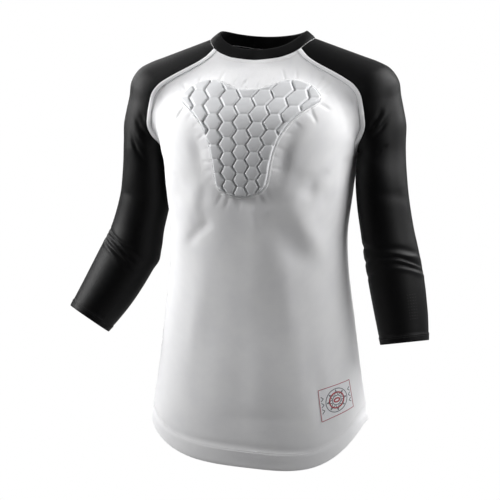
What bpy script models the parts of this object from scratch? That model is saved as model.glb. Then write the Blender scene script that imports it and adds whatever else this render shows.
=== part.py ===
"""Padded compression shirt, worn form without a wearer: cloth walls and a chest pad of hexagon cells.

Sizes below are millimetres; the objects are written in metres, Z up, front towards -Y, and +X is the
wearer's left. The origin is between the shoulders, level with the highest points of the collar.
"""
import math

import bpy
import numpy as np
from mathutils import Vector, bvhtree, geometry

MM = 0.001
CLOTH = 1.4                 # wall of the knit body and sleeves
COLLAR_WALL = 2.2           # doubled knit band
SEAM_GAP = 0.3              # between two cloth edges that are sewn together
PAD_LIFT = 0.75             # pad underside above the front's outer face
PAD_BASE = 3.2              # foam under the channels between the cells
PAD_CELL = 2.4              # height of a cell above the channels
UNDERARM = (158.0, -1.0, -192.0)
ARMPIT_Z = -192.0
CHEST_DIP = 36.0            # the chest line falls this far from the underarm to the middle
RING_DIP = 44.0             # the sleeve's first ring falls this far from the underarm to the outside
RING_REACH = 130.0          # length of sleeve over which the slant of the rings dies out
HEM_SIDE_Z = -615.0
HEM_DROP = 66.0
HEM_TILT = 14.0
HEM_TURN = 24.0             # turned and stitched hem

FRONT_COLUMNS = 30
BACK_COLUMNS = 24
SLEEVE_COLUMNS = 20
BODY_ROWS = 20
YOKE_ROWS = 14
SLEEVE_ROWS = 27

# Sections of a general figure's trunk with the shirt's ease.
# z, half width, front y, back y, y of the widest line, squareness
TORSO = (
    (-720.0, 178.0, -112.0, 78.0, -18.0, 2.25),
    (-615.0, 176.0, -112.0, 78.0, -18.0, 2.25),
    (-540.0, 165.0, -108.0, 72.0, -18.0, 2.3),
    (-460.0, 155.0, -104.0, 64.0, -18.0, 2.3),
    (-380.0, 145.0, -104.0, 60.0, -18.0, 2.3),
    (-320.0, 142.5, -108.0, 64.0, -18.0, 2.3),
    (-265.0, 149.0, -114.0, 72.0, -19.0, 2.3),
    (-225.0, 153.0, -116.0, 78.0, -19.0, 2.35),
    (-192.0, 158.0, -115.0, 82.0, -18.0, 2.35),
    (-160.0, 166.0, -110.0, 84.0, -14.0, 2.3),
    (-130.0, 166.0, -100.0, 82.0, -10.0, 2.2),
    (-100.0, 150.0, -80.0, 76.0, -5.0, 2.1),
    (-75.0, 118.0, -62.0, 68.0, 0.0, 2.0),
    (-50.0, 88.0, -42.0, 58.0, 3.0, 2.0),
    (-25.0, 66.0, -28.0, 48.0, 5.0, 2.0),
    (0.0, 56.0, -20.0, 42.0, 6.0, 2.0),
    (40.0, 50.0, -14.0, 36.0, 6.0, 2.0),
)

# Top of the arm, the same on both sides: z, x, y, half width, half depth
ARM_TOP = (
    (-240.0, 197.5, -1.0, 40.0, 45.0),
    (-192.0, 195.0, -1.0, 37.0, 45.0),
    (-145.0, 184.0, 2.0, 48.0, 49.0),
    (-98.0, 173.0, 4.0, 50.0, 50.0),
)
ARM_SWAY = (-10.5, 6.0)     # the left arm swings forward below the underarm, the right arm back
YOKE_NECK = (40.0, 6.0, -40.0, 40.0)       # x, y, z, radius of the shoulder line at the neck
YOKE_ARM = (173.0, 4.0, -98.0, 50.0)       # and at the arm

# Sleeve centre lines from the underarm to the cuff: x, y, z, half width, half depth
ARM_LEFT = (
    (195.0, -1.0, -192.0, 37.0, 45.0),
    (196.5, -10.0, -230.0, 40.0, 45.0),
    (201.0, -15.0, -270.0, 41.0, 43.0),
    (208.5, -17.0, -315.0, 41.5, 43.0),
    (215.5, -19.0, -350.0, 43.0, 44.0),
    (223.5, -21.0, -388.0, 43.5, 43.0),
    (232.5, -25.0, -436.0, 42.0, 41.0),
    (240.0, -30.0, -486.0, 37.7, 38.0),
)
ARM_RIGHT = (
    (-195.0, -1.0, -192.0, 37.0, 45.0),
    (-196.5, 5.0, -230.0, 40.0, 45.0),
    (-202.0, 9.0, -270.0, 41.0, 43.0),
    (-214.0, 11.0, -315.0, 42.0, 44.0),
    (-221.5, 7.0, -346.0, 46.0, 45.5),
    (-237.5, 0.0, -380.0, 46.5, 44.5),
    (-259.5, -14.0, -423.0, 43.5, 43.0),
    (-286.0, -29.0, -467.0, 37.0, 41.0),
)

# Raglan seams from the underarm to the neckline, left side: x, y, z
SEAM_FRONT = (
    UNDERARM, (160.0, -22.0, -187.0), (165.0, -36.0, -178.0), (172.0, -43.0, -168.0),
    (177.0, -46.0, -158.0), (179.0, -47.0, -147.0), (178.0, -49.0, -133.0), (175.0, -52.0, -114.0),
    (168.5, -56.0, -95.4), (162.0, -58.0, -86.0), (152.0, -60.0, -76.5), (138.0, -60.0, -67.0),
    (121.0, -56.0, -57.7), (99.5, -48.0, -48.0), (82.0, -38.0, -38.0), (71.0, -27.0, -30.6),
)
SEAM_BACK = (
    UNDERARM, (160.0, 22.0, -187.0), (165.0, 36.0, -178.0), (172.0, 46.0, -164.0),
    (176.0, 53.0, -146.0), (175.0, 58.0, -126.0), (167.0, 62.0, -104.0), (153.0, 65.0, -85.0),
    (134.0, 65.0, -68.0), (110.0, 62.0, -52.0), (86.0, 53.0, -36.0), (62.0, 42.0, -22.0),
)

# Neckline on the shoulders and the collar's top edge, left half from the front centre to the back:
# x, y, z of the seam, then x, y, z of the top edge
NECK = (
    (0.0, -40.0, -48.0, 0.0, -33.0, -31.0),
    (36.0, -37.0, -45.0, 33.0, -30.0, -28.0),
    (58.0, -32.0, -38.0, 53.0, -23.0, -20.0),
    (71.0, -27.0, -30.6, 63.0, -15.0, -11.0),
    (83.0, -10.0, -18.0, 70.0, -2.0, -2.0),
    (84.0, 12.0, -13.0, 70.0, 13.0, 0.0),
    (76.0, 30.0, -16.0, 62.0, 27.0, -2.0),
    (62.0, 42.0, -22.0, 51.0, 36.0, -5.0),
    (34.0, 51.0, -27.0, 28.0, 43.0, -8.0),
    (0.0, 54.0, -29.0, 0.0, 45.0, -9.5),
)

# Long soft hollows (minus) and ridges (plus) of the body: x, z, tilt in degrees, length, width, depth,
# side of the body (-1 front, 1 back)
BODY_FOLDS = (
    (0.0, -330.0, 90.0, 150.0, 60.0, -2.0, -1),
    (-95.0, -300.0, 62.0, 120.0, 30.0, 1.6, -1),
    (-118.0, -262.0, 40.0, 80.0, 20.0, -1.6, -1),
    (96.0, -292.0, -58.0, 120.0, 30.0, 1.8, -1),
    (112.0, -250.0, -40.0, 80.0, 20.0, -1.8, -1),
    (70.0, -430.0, -80.0, 170.0, 34.0, 1.8, -1),
    (-80.0, -450.0, 80.0, 170.0, 36.0, 1.6, -1),
    (0.0, -545.0, 88.0, 170.0, 60.0, -2.2, -1),
    (120.0, -570.0, -75.0, 110.0, 26.0, -1.6, -1),
    (0.0, -300.0, 90.0, 240.0, 46.0, -3.0, 1),
    (-70.0, -380.0, 30.0, 110.0, 22.0, -2.0, 1),
    (68.0, -345.0, -28.0, 120.0, 22.0, -2.0, 1),
    (-40.0, -430.0, 12.0, 130.0, 24.0, -2.0, 1),
    (60.0, -560.0, 84.0, 120.0, 34.0, 2.0, 1),
    (-84.0, -560.0, 96.0, 120.0, 34.0, 1.8, 1),
)

# Creases of the sleeves: arc length from the underarm, angle round the arm (0 outside, 90 front,
# -90 back), slant in mm per degree, half length in degrees, width, depth
SLEEVE_FOLDS = (
    (22.0, 60.0, 0.10, 46.0, 9.0, -1.8),
    (40.0, 84.0, 0.16, 40.0, 9.0, -1.4),
    (30.0, -80.0, 0.12, 46.0, 10.0, -1.8),
    (126.0, 30.0, 0.14, 70.0, 9.0, -1.8),
    (146.0, 44.0, 0.12, 78.0, 9.0, -2.4),
    (166.0, 52.0, 0.10, 80.0, 9.0, -2.4),
    (186.0, 40.0, 0.12, 66.0, 9.0, -1.8),
    (158.0, 178.0, 0.0, 50.0, 12.0, -2.4),
    (230.0, -60.0, 0.10, 50.0, 14.0, -1.2),
)

# Chest pad, right half as seen on the body's left: x, z of its outline from the top centre downwards
PAD_OUTLINE = (
    (0.0, -95.5), (18.0, -94.0), (32.0, -90.0), (44.0, -85.0), (56.0, -81.5), (68.0, -80.5),
    (82.0, -84.0), (95.0, -89.5), (105.0, -97.0), (112.0, -107.0), (110.0, -113.0),
    (99.0, -121.0), (88.0, -129.0), (75.0, -141.0), (64.0, -156.0), (55.0, -173.0),
    (49.0, -191.0), (45.0, -209.0), (42.0, -228.0), (38.0, -241.0), (30.0, -250.0),
    (16.0, -256.0), (0.0, -258.0),
)
CELL_PITCH_TOP = 28.0       # column pitch at the pad's top and bottom; the columns run together
CELL_PITCH_LOW = 16.8
CELL_HIGH_TOP = 25.0
CELL_HIGH_LOW = 19.5
CELL_START = -58.8          # height of the first cell corner of the middle column
GROOVE = 1.6                # flat channel between two cells
CELL_SLOPE = 1.3            # width of a cell's sloping edge
PAD_RIM = 1.2               # rounded edge of the pad


def column_curve(rows, at):
    """Smooth value of every column of a table at positions given in its first column."""
    table = np.array(sorted(rows), dtype=float)
    keys = table[:, 0]
    values = table[:, 1:]
    slope = np.zeros_like(values)
    slope[1:-1] = (values[2:] - values[:-2]) / (keys[2:] - keys[:-2])[:, None]
    at = np.clip(np.asarray(at, dtype=float), keys[0], keys[-1])
    low = np.clip(np.searchsorted(keys, at, side="right") - 1, 0, len(keys) - 2)
    span = (keys[low + 1] - keys[low])[..., None]
    t = ((at - keys[low])[..., None]) / span
    first = values[low] * (2 * t ** 3 - 3 * t ** 2 + 1) + slope[low] * span * (t ** 3 - 2 * t ** 2 + t)
    second = values[low + 1] * (3 * t ** 2 - 2 * t ** 3) + slope[low + 1] * span * (t ** 3 - t ** 2)
    return first + second


def resample(points, count, closed=False):
    """Points at equal arc steps on a smooth line through the given points."""
    points = np.array(points, dtype=float)
    if closed:
        points = np.vstack([points, points[:1]])
    step = np.linalg.norm(np.diff(points[:, :3], axis=0), axis=1)
    arc = np.concatenate([[0.0], np.cumsum(step)])
    table = [(a, *p) for a, p in zip(arc, points)]
    if closed:
        table = [(arc[-2] - arc[-1], *points[-2])] + table + [(arc[-1] + arc[1], *points[1])]
    fine = column_curve(table, np.linspace(0.0, arc[-1], 40 * len(points)))
    step = np.linalg.norm(np.diff(fine[:, :3], axis=0), axis=1)
    arc = np.concatenate([[0.0], np.cumsum(step)])
    want = np.linspace(0.0, arc[-1], count, endpoint=not closed)
    return np.stack([np.interp(want, arc, fine[:, k]) for k in range(fine.shape[1])], axis=-1)


def smooth_step(value):
    """0 below 0, 1 above 1 and an even curve between."""
    value = np.clip(value, 0.0, 1.0)
    return value * value * (3.0 - 2.0 * value)


def section_distance(x, y, half_width, half_depth, square):
    """Rough distance of a point from an oval section, negative inside."""
    ratio = (np.abs(x / half_width) ** square + np.abs(y / half_depth) ** square) ** (1.0 / square)
    ratio = np.maximum(ratio, 1e-6)
    radius = np.hypot(x, y) / ratio
    return (ratio - 1.0) * np.maximum(radius, 12.0)


def torso_distance(point):
    """Distance from the trunk."""
    row = column_curve(TORSO, point[..., 2])
    y = point[..., 1] - row[..., 3]
    depth = np.where(y < 0.0, row[..., 3] - row[..., 1], row[..., 2] - row[..., 3])
    return section_distance(point[..., 0], y, row[..., 0], depth, row[..., 4])


def arm_distance(point):
    """Distance from the upper arm, both sides."""
    row = column_curve(ARM_TOP, point[..., 2])
    x = np.abs(point[..., 0]) - row[..., 0]
    sway = np.where(point[..., 0] > 0.0, ARM_SWAY[0], ARM_SWAY[1])
    y = point[..., 1] - row[..., 1] - sway * smooth_step((ARMPIT_Z - point[..., 2]) / 44.0)
    tube = section_distance(x, y, row[..., 2], row[..., 3], 2.0)
    return np.where(point[..., 2] > YOKE_ARM[2], 1000.0, tube)


def yoke_distance(point):
    """Distance from the shoulder line, both sides."""
    near = np.stack([np.abs(point[..., 0]), point[..., 1], point[..., 2]], axis=-1)
    start = np.array(YOKE_NECK[:3])
    line = np.array(YOKE_ARM[:3]) - start
    t = np.clip(((near - start) @ line) / (line @ line), 0.0, 1.0)
    radius = YOKE_NECK[3] + (YOKE_ARM[3] - YOKE_NECK[3]) * t
    return np.linalg.norm(near - start - t[..., None] * line, axis=-1) - radius


def soft_union(first, second, blend):
    """Smaller of two distances with a rounded fillet between the forms."""
    blend = np.maximum(blend, 1e-3)
    share = np.maximum(blend - np.abs(first - second), 0.0) / blend
    return np.minimum(first, second) - share * share * blend * 0.25


def figure_distance(point):
    """Distance from the whole upper figure; the fillet dies out towards the underarm."""
    rise = smooth_step((point[..., 2] - ARMPIT_Z) / 70.0)
    limb = np.minimum(yoke_distance(point), arm_distance(point))
    return soft_union(torso_distance(point), limb, 3.0 + 25.0 * rise)


def gradient(field, point):
    """Slope of a field, by small steps."""
    out = np.zeros_like(point)
    for axis in range(3):
        step = np.zeros(3)
        step[axis] = 0.4
        out[..., axis] = (field(point + step) - field(point - step)) / 0.8
    return out


def project(field, point, turns=16):
    """Move points square onto a field's surface."""
    point = np.array(point, dtype=float)
    for _ in range(turns):
        slope = gradient(field, point)
        size = np.maximum((slope * slope).sum(axis=-1), 0.05)
        move = field(point)[..., None] * slope / size[..., None]
        length = np.maximum(np.linalg.norm(move, axis=-1, keepdims=True), 1e-9)
        point -= move * np.minimum(1.0, 12.0 / length)
    return point


def relax(grid, turns=40):
    """Even out the inside of a patch while it stays on the figure and its edges stay put."""
    for _ in range(turns):
        around = 0.25 * (grid[:-2, 1:-1] + grid[2:, 1:-1] + grid[1:-1, :-2] + grid[1:-1, 2:])
        grid[1:-1, 1:-1] = project(figure_distance, 0.4 * grid[1:-1, 1:-1] + 0.6 * around, 2)
    grid[1:-1, 1:-1] = project(figure_distance, grid[1:-1, 1:-1], 6)
    return grid


def unit(vector):
    """Vector of length one."""
    return vector / np.maximum(np.linalg.norm(vector, axis=-1, keepdims=True), 1e-9)


def hem_height(share, side):
    """Height of the curved hem; share is x over the half width."""
    power, edge = (3.4, 0.9) if side < 0 else (2.4, 1.3)
    drop = np.maximum(1.0 - np.abs(share) ** power, 0.0) ** edge
    tilt = HEM_TILT * share * drop
    return HEM_SIDE_Z - HEM_DROP * drop - tilt


def body_folds(point, side):
    """Outward move of body points from the fold table."""
    move = np.zeros(point.shape[:-1])
    for x, z, tilt, length, width, depth, face in BODY_FOLDS:
        if face != side:
            continue
        turn = math.radians(tilt)
        dx = point[..., 0] - x
        dz = point[..., 2] - z
        along = dx * math.cos(turn) + dz * math.sin(turn)
        across = -dx * math.sin(turn) + dz * math.cos(turn)
        move += depth * np.exp(-(along / (0.5 * length)) ** 2 - (across / (0.5 * width)) ** 2)
    return move


def body_lower(side, columns):
    """Outer points of the body below the underarm, rows from the hem up."""
    turn = np.linspace(-1.0, 1.0, columns + 1)
    angle = 0.5 * math.pi * turn
    rows = []
    shares = np.concatenate([[0.0, 0.55, 1.0], 1.0 + np.arange(1, BODY_ROWS - 1)])
    shares = np.where(shares > 1.0, shares, shares)
    hem = hem_height(np.sin(angle), side)
    for k in range(BODY_ROWS + 1):
        if k <= 2:
            z = hem + HEM_TURN * shares[k] * (0.35 + 0.65 * np.abs(np.cos(angle)))
        else:
            base = hem + HEM_TURN * (0.35 + 0.65 * np.abs(np.cos(angle)))
            top = ARMPIT_Z - CHEST_DIP * np.abs(np.cos(angle)) ** 0.8
            z = base + (top - base) * (k - 2) / (BODY_ROWS - 2)
        row = column_curve(TORSO, z)
        power = 2.0 / row[..., 4]
        depth = row[..., 3] - row[..., 1] if side < 0 else row[..., 2] - row[..., 3]
        x = row[..., 0] * np.sign(np.sin(angle)) * np.abs(np.sin(angle)) ** power
        y = row[..., 3] + side * depth * np.abs(np.cos(angle)) ** power
        rows.append(np.stack([x, y, z], axis=-1))
    return np.array(rows)


def coons(low, high, left, right):
    """Surface between four boundary lines; rows run from low to high."""
    rows = len(left)
    columns = len(low)
    t = np.linspace(0.0, 1.0, rows)[:, None, None]
    u = np.linspace(0.0, 1.0, columns)[None, :, None]
    across = (1 - t) * low[None] + t * high[None]
    upward = (1 - u) * left[:, None] + u * right[:, None]
    corner = (1 - t) * ((1 - u) * low[0] + u * low[-1]) + t * ((1 - u) * high[0] + u * high[-1])
    return across + upward - corner


def mirror(points):
    """The same line on the body's other side."""
    return np.array(points) * np.array([-1.0, 1.0, 1.0])


def neck_lines():
    """Whole neckline and collar top, closed, from the front centre round the left side."""
    half = np.array(NECK)
    other = half[1:-1][::-1] * np.array([-1.0, 1.0, 1.0, -1.0, 1.0, 1.0])
    return np.vstack([half, other])


def shared_lines():
    """Lines where pieces meet: seams and the parts of the neckline."""
    lines = {}
    for name, table in (("front", SEAM_FRONT), ("back", SEAM_BACK)):
        seam = resample(project(figure_distance, table), YOKE_ROWS + 1)
        seam[1:] = project(figure_distance, seam[1:])
        seam[0] = UNDERARM
        lines[name] = seam
    ring = neck_lines()
    front = ring[:4]
    back = ring[7:10]
    top = np.vstack([mirror(front[::-1, :3])[:-1], front[:, :3]])
    lines["neck_front"] = project(figure_distance, resample(top, FRONT_COLUMNS + 1))
    rear = np.vstack([mirror(back[:, :3]), back[::-1, :3][1:]])
    lines["neck_back"] = project(figure_distance, resample(rear, BACK_COLUMNS + 1))
    lines["neck_side"] = project(figure_distance, resample(ring[3:8, :3], SLEEVE_COLUMNS + 1))
    for key, end in (("front", -1), ("back", -1)):
        corner = lines["neck_side"][0] if key == "front" else lines["neck_side"][-1]
        lines[key][end] = corner
    lines["neck_front"][0] = mirror(lines["front"][-1])
    lines["neck_front"][-1] = lines["front"][-1]
    lines["neck_back"][0] = mirror(lines["back"][-1])
    lines["neck_back"][-1] = lines["back"][-1]
    return lines


def ease_edges(outer, normal, start, columns=True):
    """Draw a piece's sewn edges back by half the seam gap, square to the seam within the cloth."""
    half = 0.5 * SEAM_GAP
    out = outer.copy()

    def draw(edge, beside, face):
        along = np.gradient(edge, axis=0)
        square = unit(np.cross(face, along))
        side = np.sign(((beside - edge) * square).sum(axis=-1, keepdims=True))
        return square * side * half

    if columns:
        out[start:, 0] += draw(outer[start:, 0], outer[start:, 1], normal[start:, 0])
        out[start:, -1] += draw(outer[start:, -1], outer[start:, -2], normal[start:, -1])
    out[-1] += draw(outer[-1], outer[-2], normal[-1])
    return out


def body_panel(side, columns, lines):
    """Outer and inner points of the front (side -1) or back (side 1)."""
    name = "front" if side < 0 else "back"
    lower = body_lower(side, columns)
    chest = lower[-1].copy()
    chest[0] = mirror(UNDERARM)
    chest[-1] = UNDERARM
    near = np.array([1.0, 0.55, 0.25, 0.1])
    for k, share in enumerate(near):
        shift = (np.array(UNDERARM) - lower[-1 - k][-1]) * share
        fade = np.clip(1.0 - np.arange(columns + 1)[::-1] / 4.0, 0.0, 1.0)[:, None]
        lower[-1 - k] += shift * fade
        lower[-1 - k] += mirror(shift) * fade[::-1]
    seam = lines[name]
    upper = coons(lower[-1], lines["neck_" + name], mirror(seam), seam)
    upper[1:-1, 1:-1] = project(figure_distance, upper[1:-1, 1:-1])
    upper = relax(upper)
    normal_low = unit(gradient(torso_distance, lower))
    normal_up = unit(gradient(figure_distance, upper))
    normal_low[-4:, 0] = unit(normal_low[-4:, 0] * np.array([1.0, 0.0, 1.0]))
    normal_low[-4:, -1] = unit(normal_low[-4:, -1] * np.array([1.0, 0.0, 1.0]))
    outer = np.vstack([lower, upper[1:]])
    normal = np.vstack([normal_low, normal_up[1:]])
    calm = np.ones(outer.shape[:2])
    calm[:, 0] = 0.0
    calm[:, -1] = 0.0
    calm[:, 1] = 0.5
    calm[:, -2] = 0.5
    calm[:3] *= np.array([0.0, 0.3, 0.6])[:, None]
    outer = outer + normal * (body_folds(outer, side) * calm)[..., None]
    outer = ease_edges(outer, normal, 0)
    inner = outer - normal * CLOTH
    raised = np.zeros(len(outer))
    raised[:3] = (0.5, 0.9, 0.9)
    outer = outer + normal * raised[:, None, None]
    return outer, inner


def sleeve_axis(rows):
    """Fine centre line of a sleeve below the underarm: arc length, then centre, half sizes, tangent."""
    line = resample(rows, 160)
    centre = line[:, :3]
    arc = np.concatenate([[0.0], np.cumsum(np.linalg.norm(np.diff(centre, axis=0), axis=1))])
    tangent = unit(np.gradient(centre, axis=0))
    for _ in range(60):
        tangent[1:-1] = unit(tangent[:-2] + 2 * tangent[1:-1] + tangent[2:])
    return arc, np.hstack([line, tangent])


def sleeve(sign, rows, lines):
    """Outer and inner points of one sleeve, rows from the cuff up to the neck."""
    arc, line = sleeve_axis(rows)
    turn = np.linspace(math.pi, -math.pi, SLEEVE_COLUMNS + 1)
    degree = np.degrees(turn)
    outside = 0.5 + 0.5 * np.cos(turn)
    rings = []
    normals = []
    for k in range(SLEEVE_ROWS + 1):
        base = arc[-1] * k / SLEEVE_ROWS
        at_arc = base + RING_DIP * outside * max(0.0, 1.0 - base / RING_REACH) ** 2
        at = np.stack([np.interp(at_arc, arc, line[:, c]) for c in range(line.shape[1])], axis=-1)
        axis = unit(at[:, 5:8])
        first = np.array([float(sign), 0.0, 0.0]) * np.ones((len(turn), 1))
        first = unit(first - axis * (first * axis).sum(axis=-1, keepdims=True))
        second = unit(np.cross(axis, first))
        second *= np.where(second[:, 1:2] > 0, -1.0, 1.0)
        move = np.zeros(len(turn))
        for place, middle, slant, reach, width, depth in SLEEVE_FOLDS:
            off = (degree - middle + 180.0) % 360.0 - 180.0
            gap = at_arc - place - slant * off
            move += depth * np.exp(-(gap / width) ** 2 - (off / reach) ** 2)
        move *= smooth_step(at_arc / 30.0) * smooth_step((arc[-1] - at_arc) / 30.0)
        cosine = first * np.cos(turn)[:, None]
        sine = second * np.sin(turn)[:, None]
        face = unit(cosine / at[:, 3:4] + sine / at[:, 4:5])
        rings.append(at[:, :3] + cosine * at[:, 3:4] + sine * at[:, 4:5] + face * move[:, None])
        normals.append(face)
    under = np.array(UNDERARM) * np.array([float(sign), 1.0, 1.0])
    offset = under - rings[0][0]
    for k, share in enumerate((1.0, 0.6, 0.25)):
        fade = np.clip(1.0 - np.abs(np.abs(turn) - math.pi) / 0.9, 0.0, 1.0)[:, None] ** 2
        rings[k] = rings[k] + offset * share * fade
    front = lines["front"] if sign > 0 else mirror(lines["front"])
    back = lines["back"] if sign > 0 else mirror(lines["back"])
    neck = lines["neck_side"] if sign > 0 else mirror(lines["neck_side"])
    top = coons(rings[0], neck, front, back)
    hub_line = np.array([(YOKE_ARM[0], YOKE_ARM[1], YOKE_ARM[2])]) * np.array([float(sign), 1.0, 1.0])
    upper = yoke_rows(sign, rings[0], neck, front, back, top, hub_line)
    upper_normal = unit(gradient(figure_distance, upper))
    rings = np.array(rings[::-1])
    normals = np.array(normals[::-1])
    outer = np.vstack([rings, upper[1:]])
    normal = np.vstack([normals, upper_normal[1:]])
    blend = 0.5 * (normal[SLEEVE_ROWS] + unit(gradient(figure_distance, upper[0])))
    normal[SLEEVE_ROWS] = unit(blend)
    end = 0.5 * (normal[SLEEVE_ROWS, 0] + normal[SLEEVE_ROWS, -1])
    normal[SLEEVE_ROWS, 0] = unit(end)
    normal[SLEEVE_ROWS, -1] = unit(end)
    start = SLEEVE_ROWS + 1
    outer = ease_edges(outer, normal, start)
    for k, share in ((0, 1.0), (1, 0.7), (2, 0.4)):
        lift = np.array([sign * 0.8, 0.0, 0.0]) * share
        outer[SLEEVE_ROWS - k] += lift * np.clip(1.0 - np.abs(np.abs(turn) - math.pi) / 0.8, 0.0, 1.0)[:, None]
    inner = outer - normal * CLOTH
    raised = np.zeros(len(outer))
    raised[:2] = (0.5, 0.6)
    outer = outer + normal * raised[:, None, None]
    return outer, inner


def yoke_rows(sign, ring, neck, front, back, guess, hub):
    """Rows of the raglan part: arcs from the front seam over the shoulder to the back seam."""
    rows = len(front)
    out = np.array(guess)
    crest_low = ring[SLEEVE_COLUMNS // 2]
    crest_high = neck[SLEEVE_COLUMNS // 2]
    crest = np.array([crest_low, (228.0 * sign, 1.0, -140.0), (223.0 * sign, 3.0, -98.0),
                      (205.0 * sign, 4.0, -60.0), (170.0 * sign, 4.0, -42.0),
                      (125.0 * sign, 4.0, -27.0), crest_high])
    crest = project(figure_distance, resample(crest, rows))
    crest[0] = crest_low
    crest[-1] = crest_high
    columns = len(ring)
    middle = columns // 2
    inner_low = np.array([195.0 * sign, -1.0, -192.0])
    hubs = resample(np.array([inner_low, (186.0 * sign, 2.0, -140.0), (168.0 * sign, 4.0, -104.0),
                              (120.0 * sign, 5.0, -84.0), (60.0 * sign, 6.0, -62.0)]), rows)
    for k in range(1, rows - 1):
        hub_point = hubs[k]
        to_crest = unit(crest[k] - hub_point)
        line = []
        for end in (front[k], back[k]):
            to_end = unit(end - hub_point)
            spread = math.acos(max(-1.0, min(1.0, float(to_crest @ to_end))))
            share = np.linspace(0.0, 1.0, middle + 1)
            weight_end = np.sin((1 - share) * spread) / max(math.sin(spread), 0.05)
            weight_crest = np.sin(share * spread) / max(math.sin(spread), 0.05)
            aim = to_end[None] * weight_end[:, None] + to_crest[None] * weight_crest[:, None]
            reach_end = np.linalg.norm(end - hub_point)
            reach_crest = np.linalg.norm(crest[k] - hub_point)
            reach = reach_end + (reach_crest - reach_end) * share
            line.append(hub_point + unit(aim) * reach[:, None])
        out[k] = np.vstack([line[0], line[1][::-1][1:]])
    out[1:-1, 1:-1] = project(figure_distance, out[1:-1, 1:-1])
    return relax(out, 3)


def wall_mesh(outer, inner, closed_rows=0):
    """Closed cloth wall from outer and inner grids; the first rows may run all the way round."""
    rows, columns = outer.shape[:2]
    vertices = []
    number = np.zeros((2, rows, columns), dtype=int)
    for layer, grid in enumerate((outer, inner)):
        for r in range(rows):
            for c in range(columns):
                if r < closed_rows and c == columns - 1:
                    number[layer, r, c] = number[layer, r, 0]
                    continue
                number[layer, r, c] = len(vertices)
                vertices.append(grid[r, c])
    faces = []
    for r in range(rows - 1):
        for c in range(columns - 1):
            quad = ((r, c), (r, c + 1), (r + 1, c + 1), (r + 1, c))
            faces.append([number[0][at] for at in quad])
            faces.append([number[1][at] for at in reversed(quad)])
    for c in range(columns - 1):
        faces.append([number[0, 0, c + 1], number[0, 0, c], number[1, 0, c], number[1, 0, c + 1]])
        faces.append([number[0, -1, c], number[0, -1, c + 1], number[1, -1, c + 1], number[1, -1, c]])
    first = max(closed_rows - 1, 0)
    for r in range(first, rows - 1):
        faces.append([number[0, r, 0], number[0, r + 1, 0], number[1, r + 1, 0], number[1, r, 0]])
        faces.append([number[0, r + 1, -1], number[0, r, -1], number[1, r, -1], number[1, r + 1, -1]])
    return vertices, faces


def collar(lines):
    """Rounded band between the neckline and the neck opening."""
    ring = neck_lines()
    low = np.vstack([
        lines["neck_front"][FRONT_COLUMNS // 2::2],
        lines["neck_side"][:-1:2],
        lines["neck_back"][::-1][::2],
        mirror(lines["neck_side"])[::-1][2::2],
        lines["neck_front"][1:FRONT_COLUMNS // 2:2],
    ])
    fine = resample(ring, 720, closed=True)
    top = []
    for point in low:
        near = np.argmin(np.linalg.norm(fine[:, :3] - point, axis=1))
        top.append(fine[near, 3:])
    top = np.array(top)
    for _ in range(4):
        top = 0.5 * top + 0.25 * (np.roll(top, 1, axis=0) + np.roll(top, -1, axis=0))
    rise = unit(top - low)
    around = unit(np.roll(low, -1, axis=0) - np.roll(low, 1, axis=0))
    out = unit(np.cross(around, rise))
    height = np.linalg.norm(top - low, axis=1)[:, None]
    face = unit(gradient(figure_distance, low))
    climb = unit(np.cross(around, face))
    climb *= np.sign((climb * rise).sum(axis=-1, keepdims=True))
    foot = low + climb * 0.5 * SEAM_GAP
    # share of the height, outward, from the seam up the outside, over the top and down the inside
    profile = ((0.12, 0.5), (0.45, 1.0), (0.82, 0.8), (0.97, 0.2), (0.97, -0.9), (0.5, 1.0 - COLLAR_WALL))
    grid = [foot]
    for share, push in profile:
        grid.append(low + rise * share * height + out * push)
    grid.append(foot - face * CLOTH)
    vertices = [p for line in grid for p in line]
    count = len(low)
    faces = []
    for k in range(len(grid)):
        after = (k + 1) % len(grid)
        for j in range(count):
            beside = (j + 1) % count
            faces.append([k * count + j, k * count + beside, after * count + beside, after * count + j])
    return vertices, faces


def pad_row(z):
    """Column pitch and cell height of the pad at a height."""
    top = PAD_OUTLINE[5][1]
    share = (top - z) / (top - PAD_OUTLINE[-1][1])
    pitch = CELL_PITCH_TOP + (CELL_PITCH_LOW - CELL_PITCH_TOP) * share
    high = CELL_HIGH_TOP + (CELL_HIGH_LOW - CELL_HIGH_TOP) * share
    return pitch, high


def inset(loop, distance):
    """A closed loop drawn in by a distance; the loop runs anticlockwise."""
    loop = np.array(loop, dtype=float)
    ahead = unit(np.roll(loop, -1, axis=0) - loop)
    behind = unit(loop - np.roll(loop, 1, axis=0))
    normal = unit(np.stack([-(ahead + behind)[:, 1], (ahead + behind)[:, 0]], axis=-1))
    lean = np.maximum((normal * np.stack([-ahead[:, 1], ahead[:, 0]], axis=-1)).sum(axis=1), 0.5)
    return loop + normal * (distance / lean)[:, None]


def clip(subject, cutter):
    """The part of a loop inside a convex anticlockwise loop."""
    out = [tuple(p) for p in subject]
    for k in range(len(cutter)):
        a = cutter[k]
        b = cutter[(k + 1) % len(cutter)]
        source = out
        out = []
        for j, point in enumerate(source):
            last = source[j - 1]
            side = (b[0] - a[0]) * (point[1] - a[1]) - (b[1] - a[1]) * (point[0] - a[0])
            side_last = (b[0] - a[0]) * (last[1] - a[1]) - (b[1] - a[1]) * (last[0] - a[0])
            if side * side_last < 0.0:
                t = side_last / (side_last - side)
                out.append((last[0] + t * (point[0] - last[0]), last[1] + t * (point[1] - last[1])))
            if side >= 0.0:
                out.append(point)
        if not out:
            return []
    return out


def tidy_loop(loop, least):
    """Loop without points closer together than a limit."""
    out = []
    for point in loop:
        if not out or math.dist(point, out[-1]) > least:
            out.append(point)
    while len(out) > 2 and math.dist(out[0], out[-1]) <= least:
        out.pop()
    return out


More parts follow.
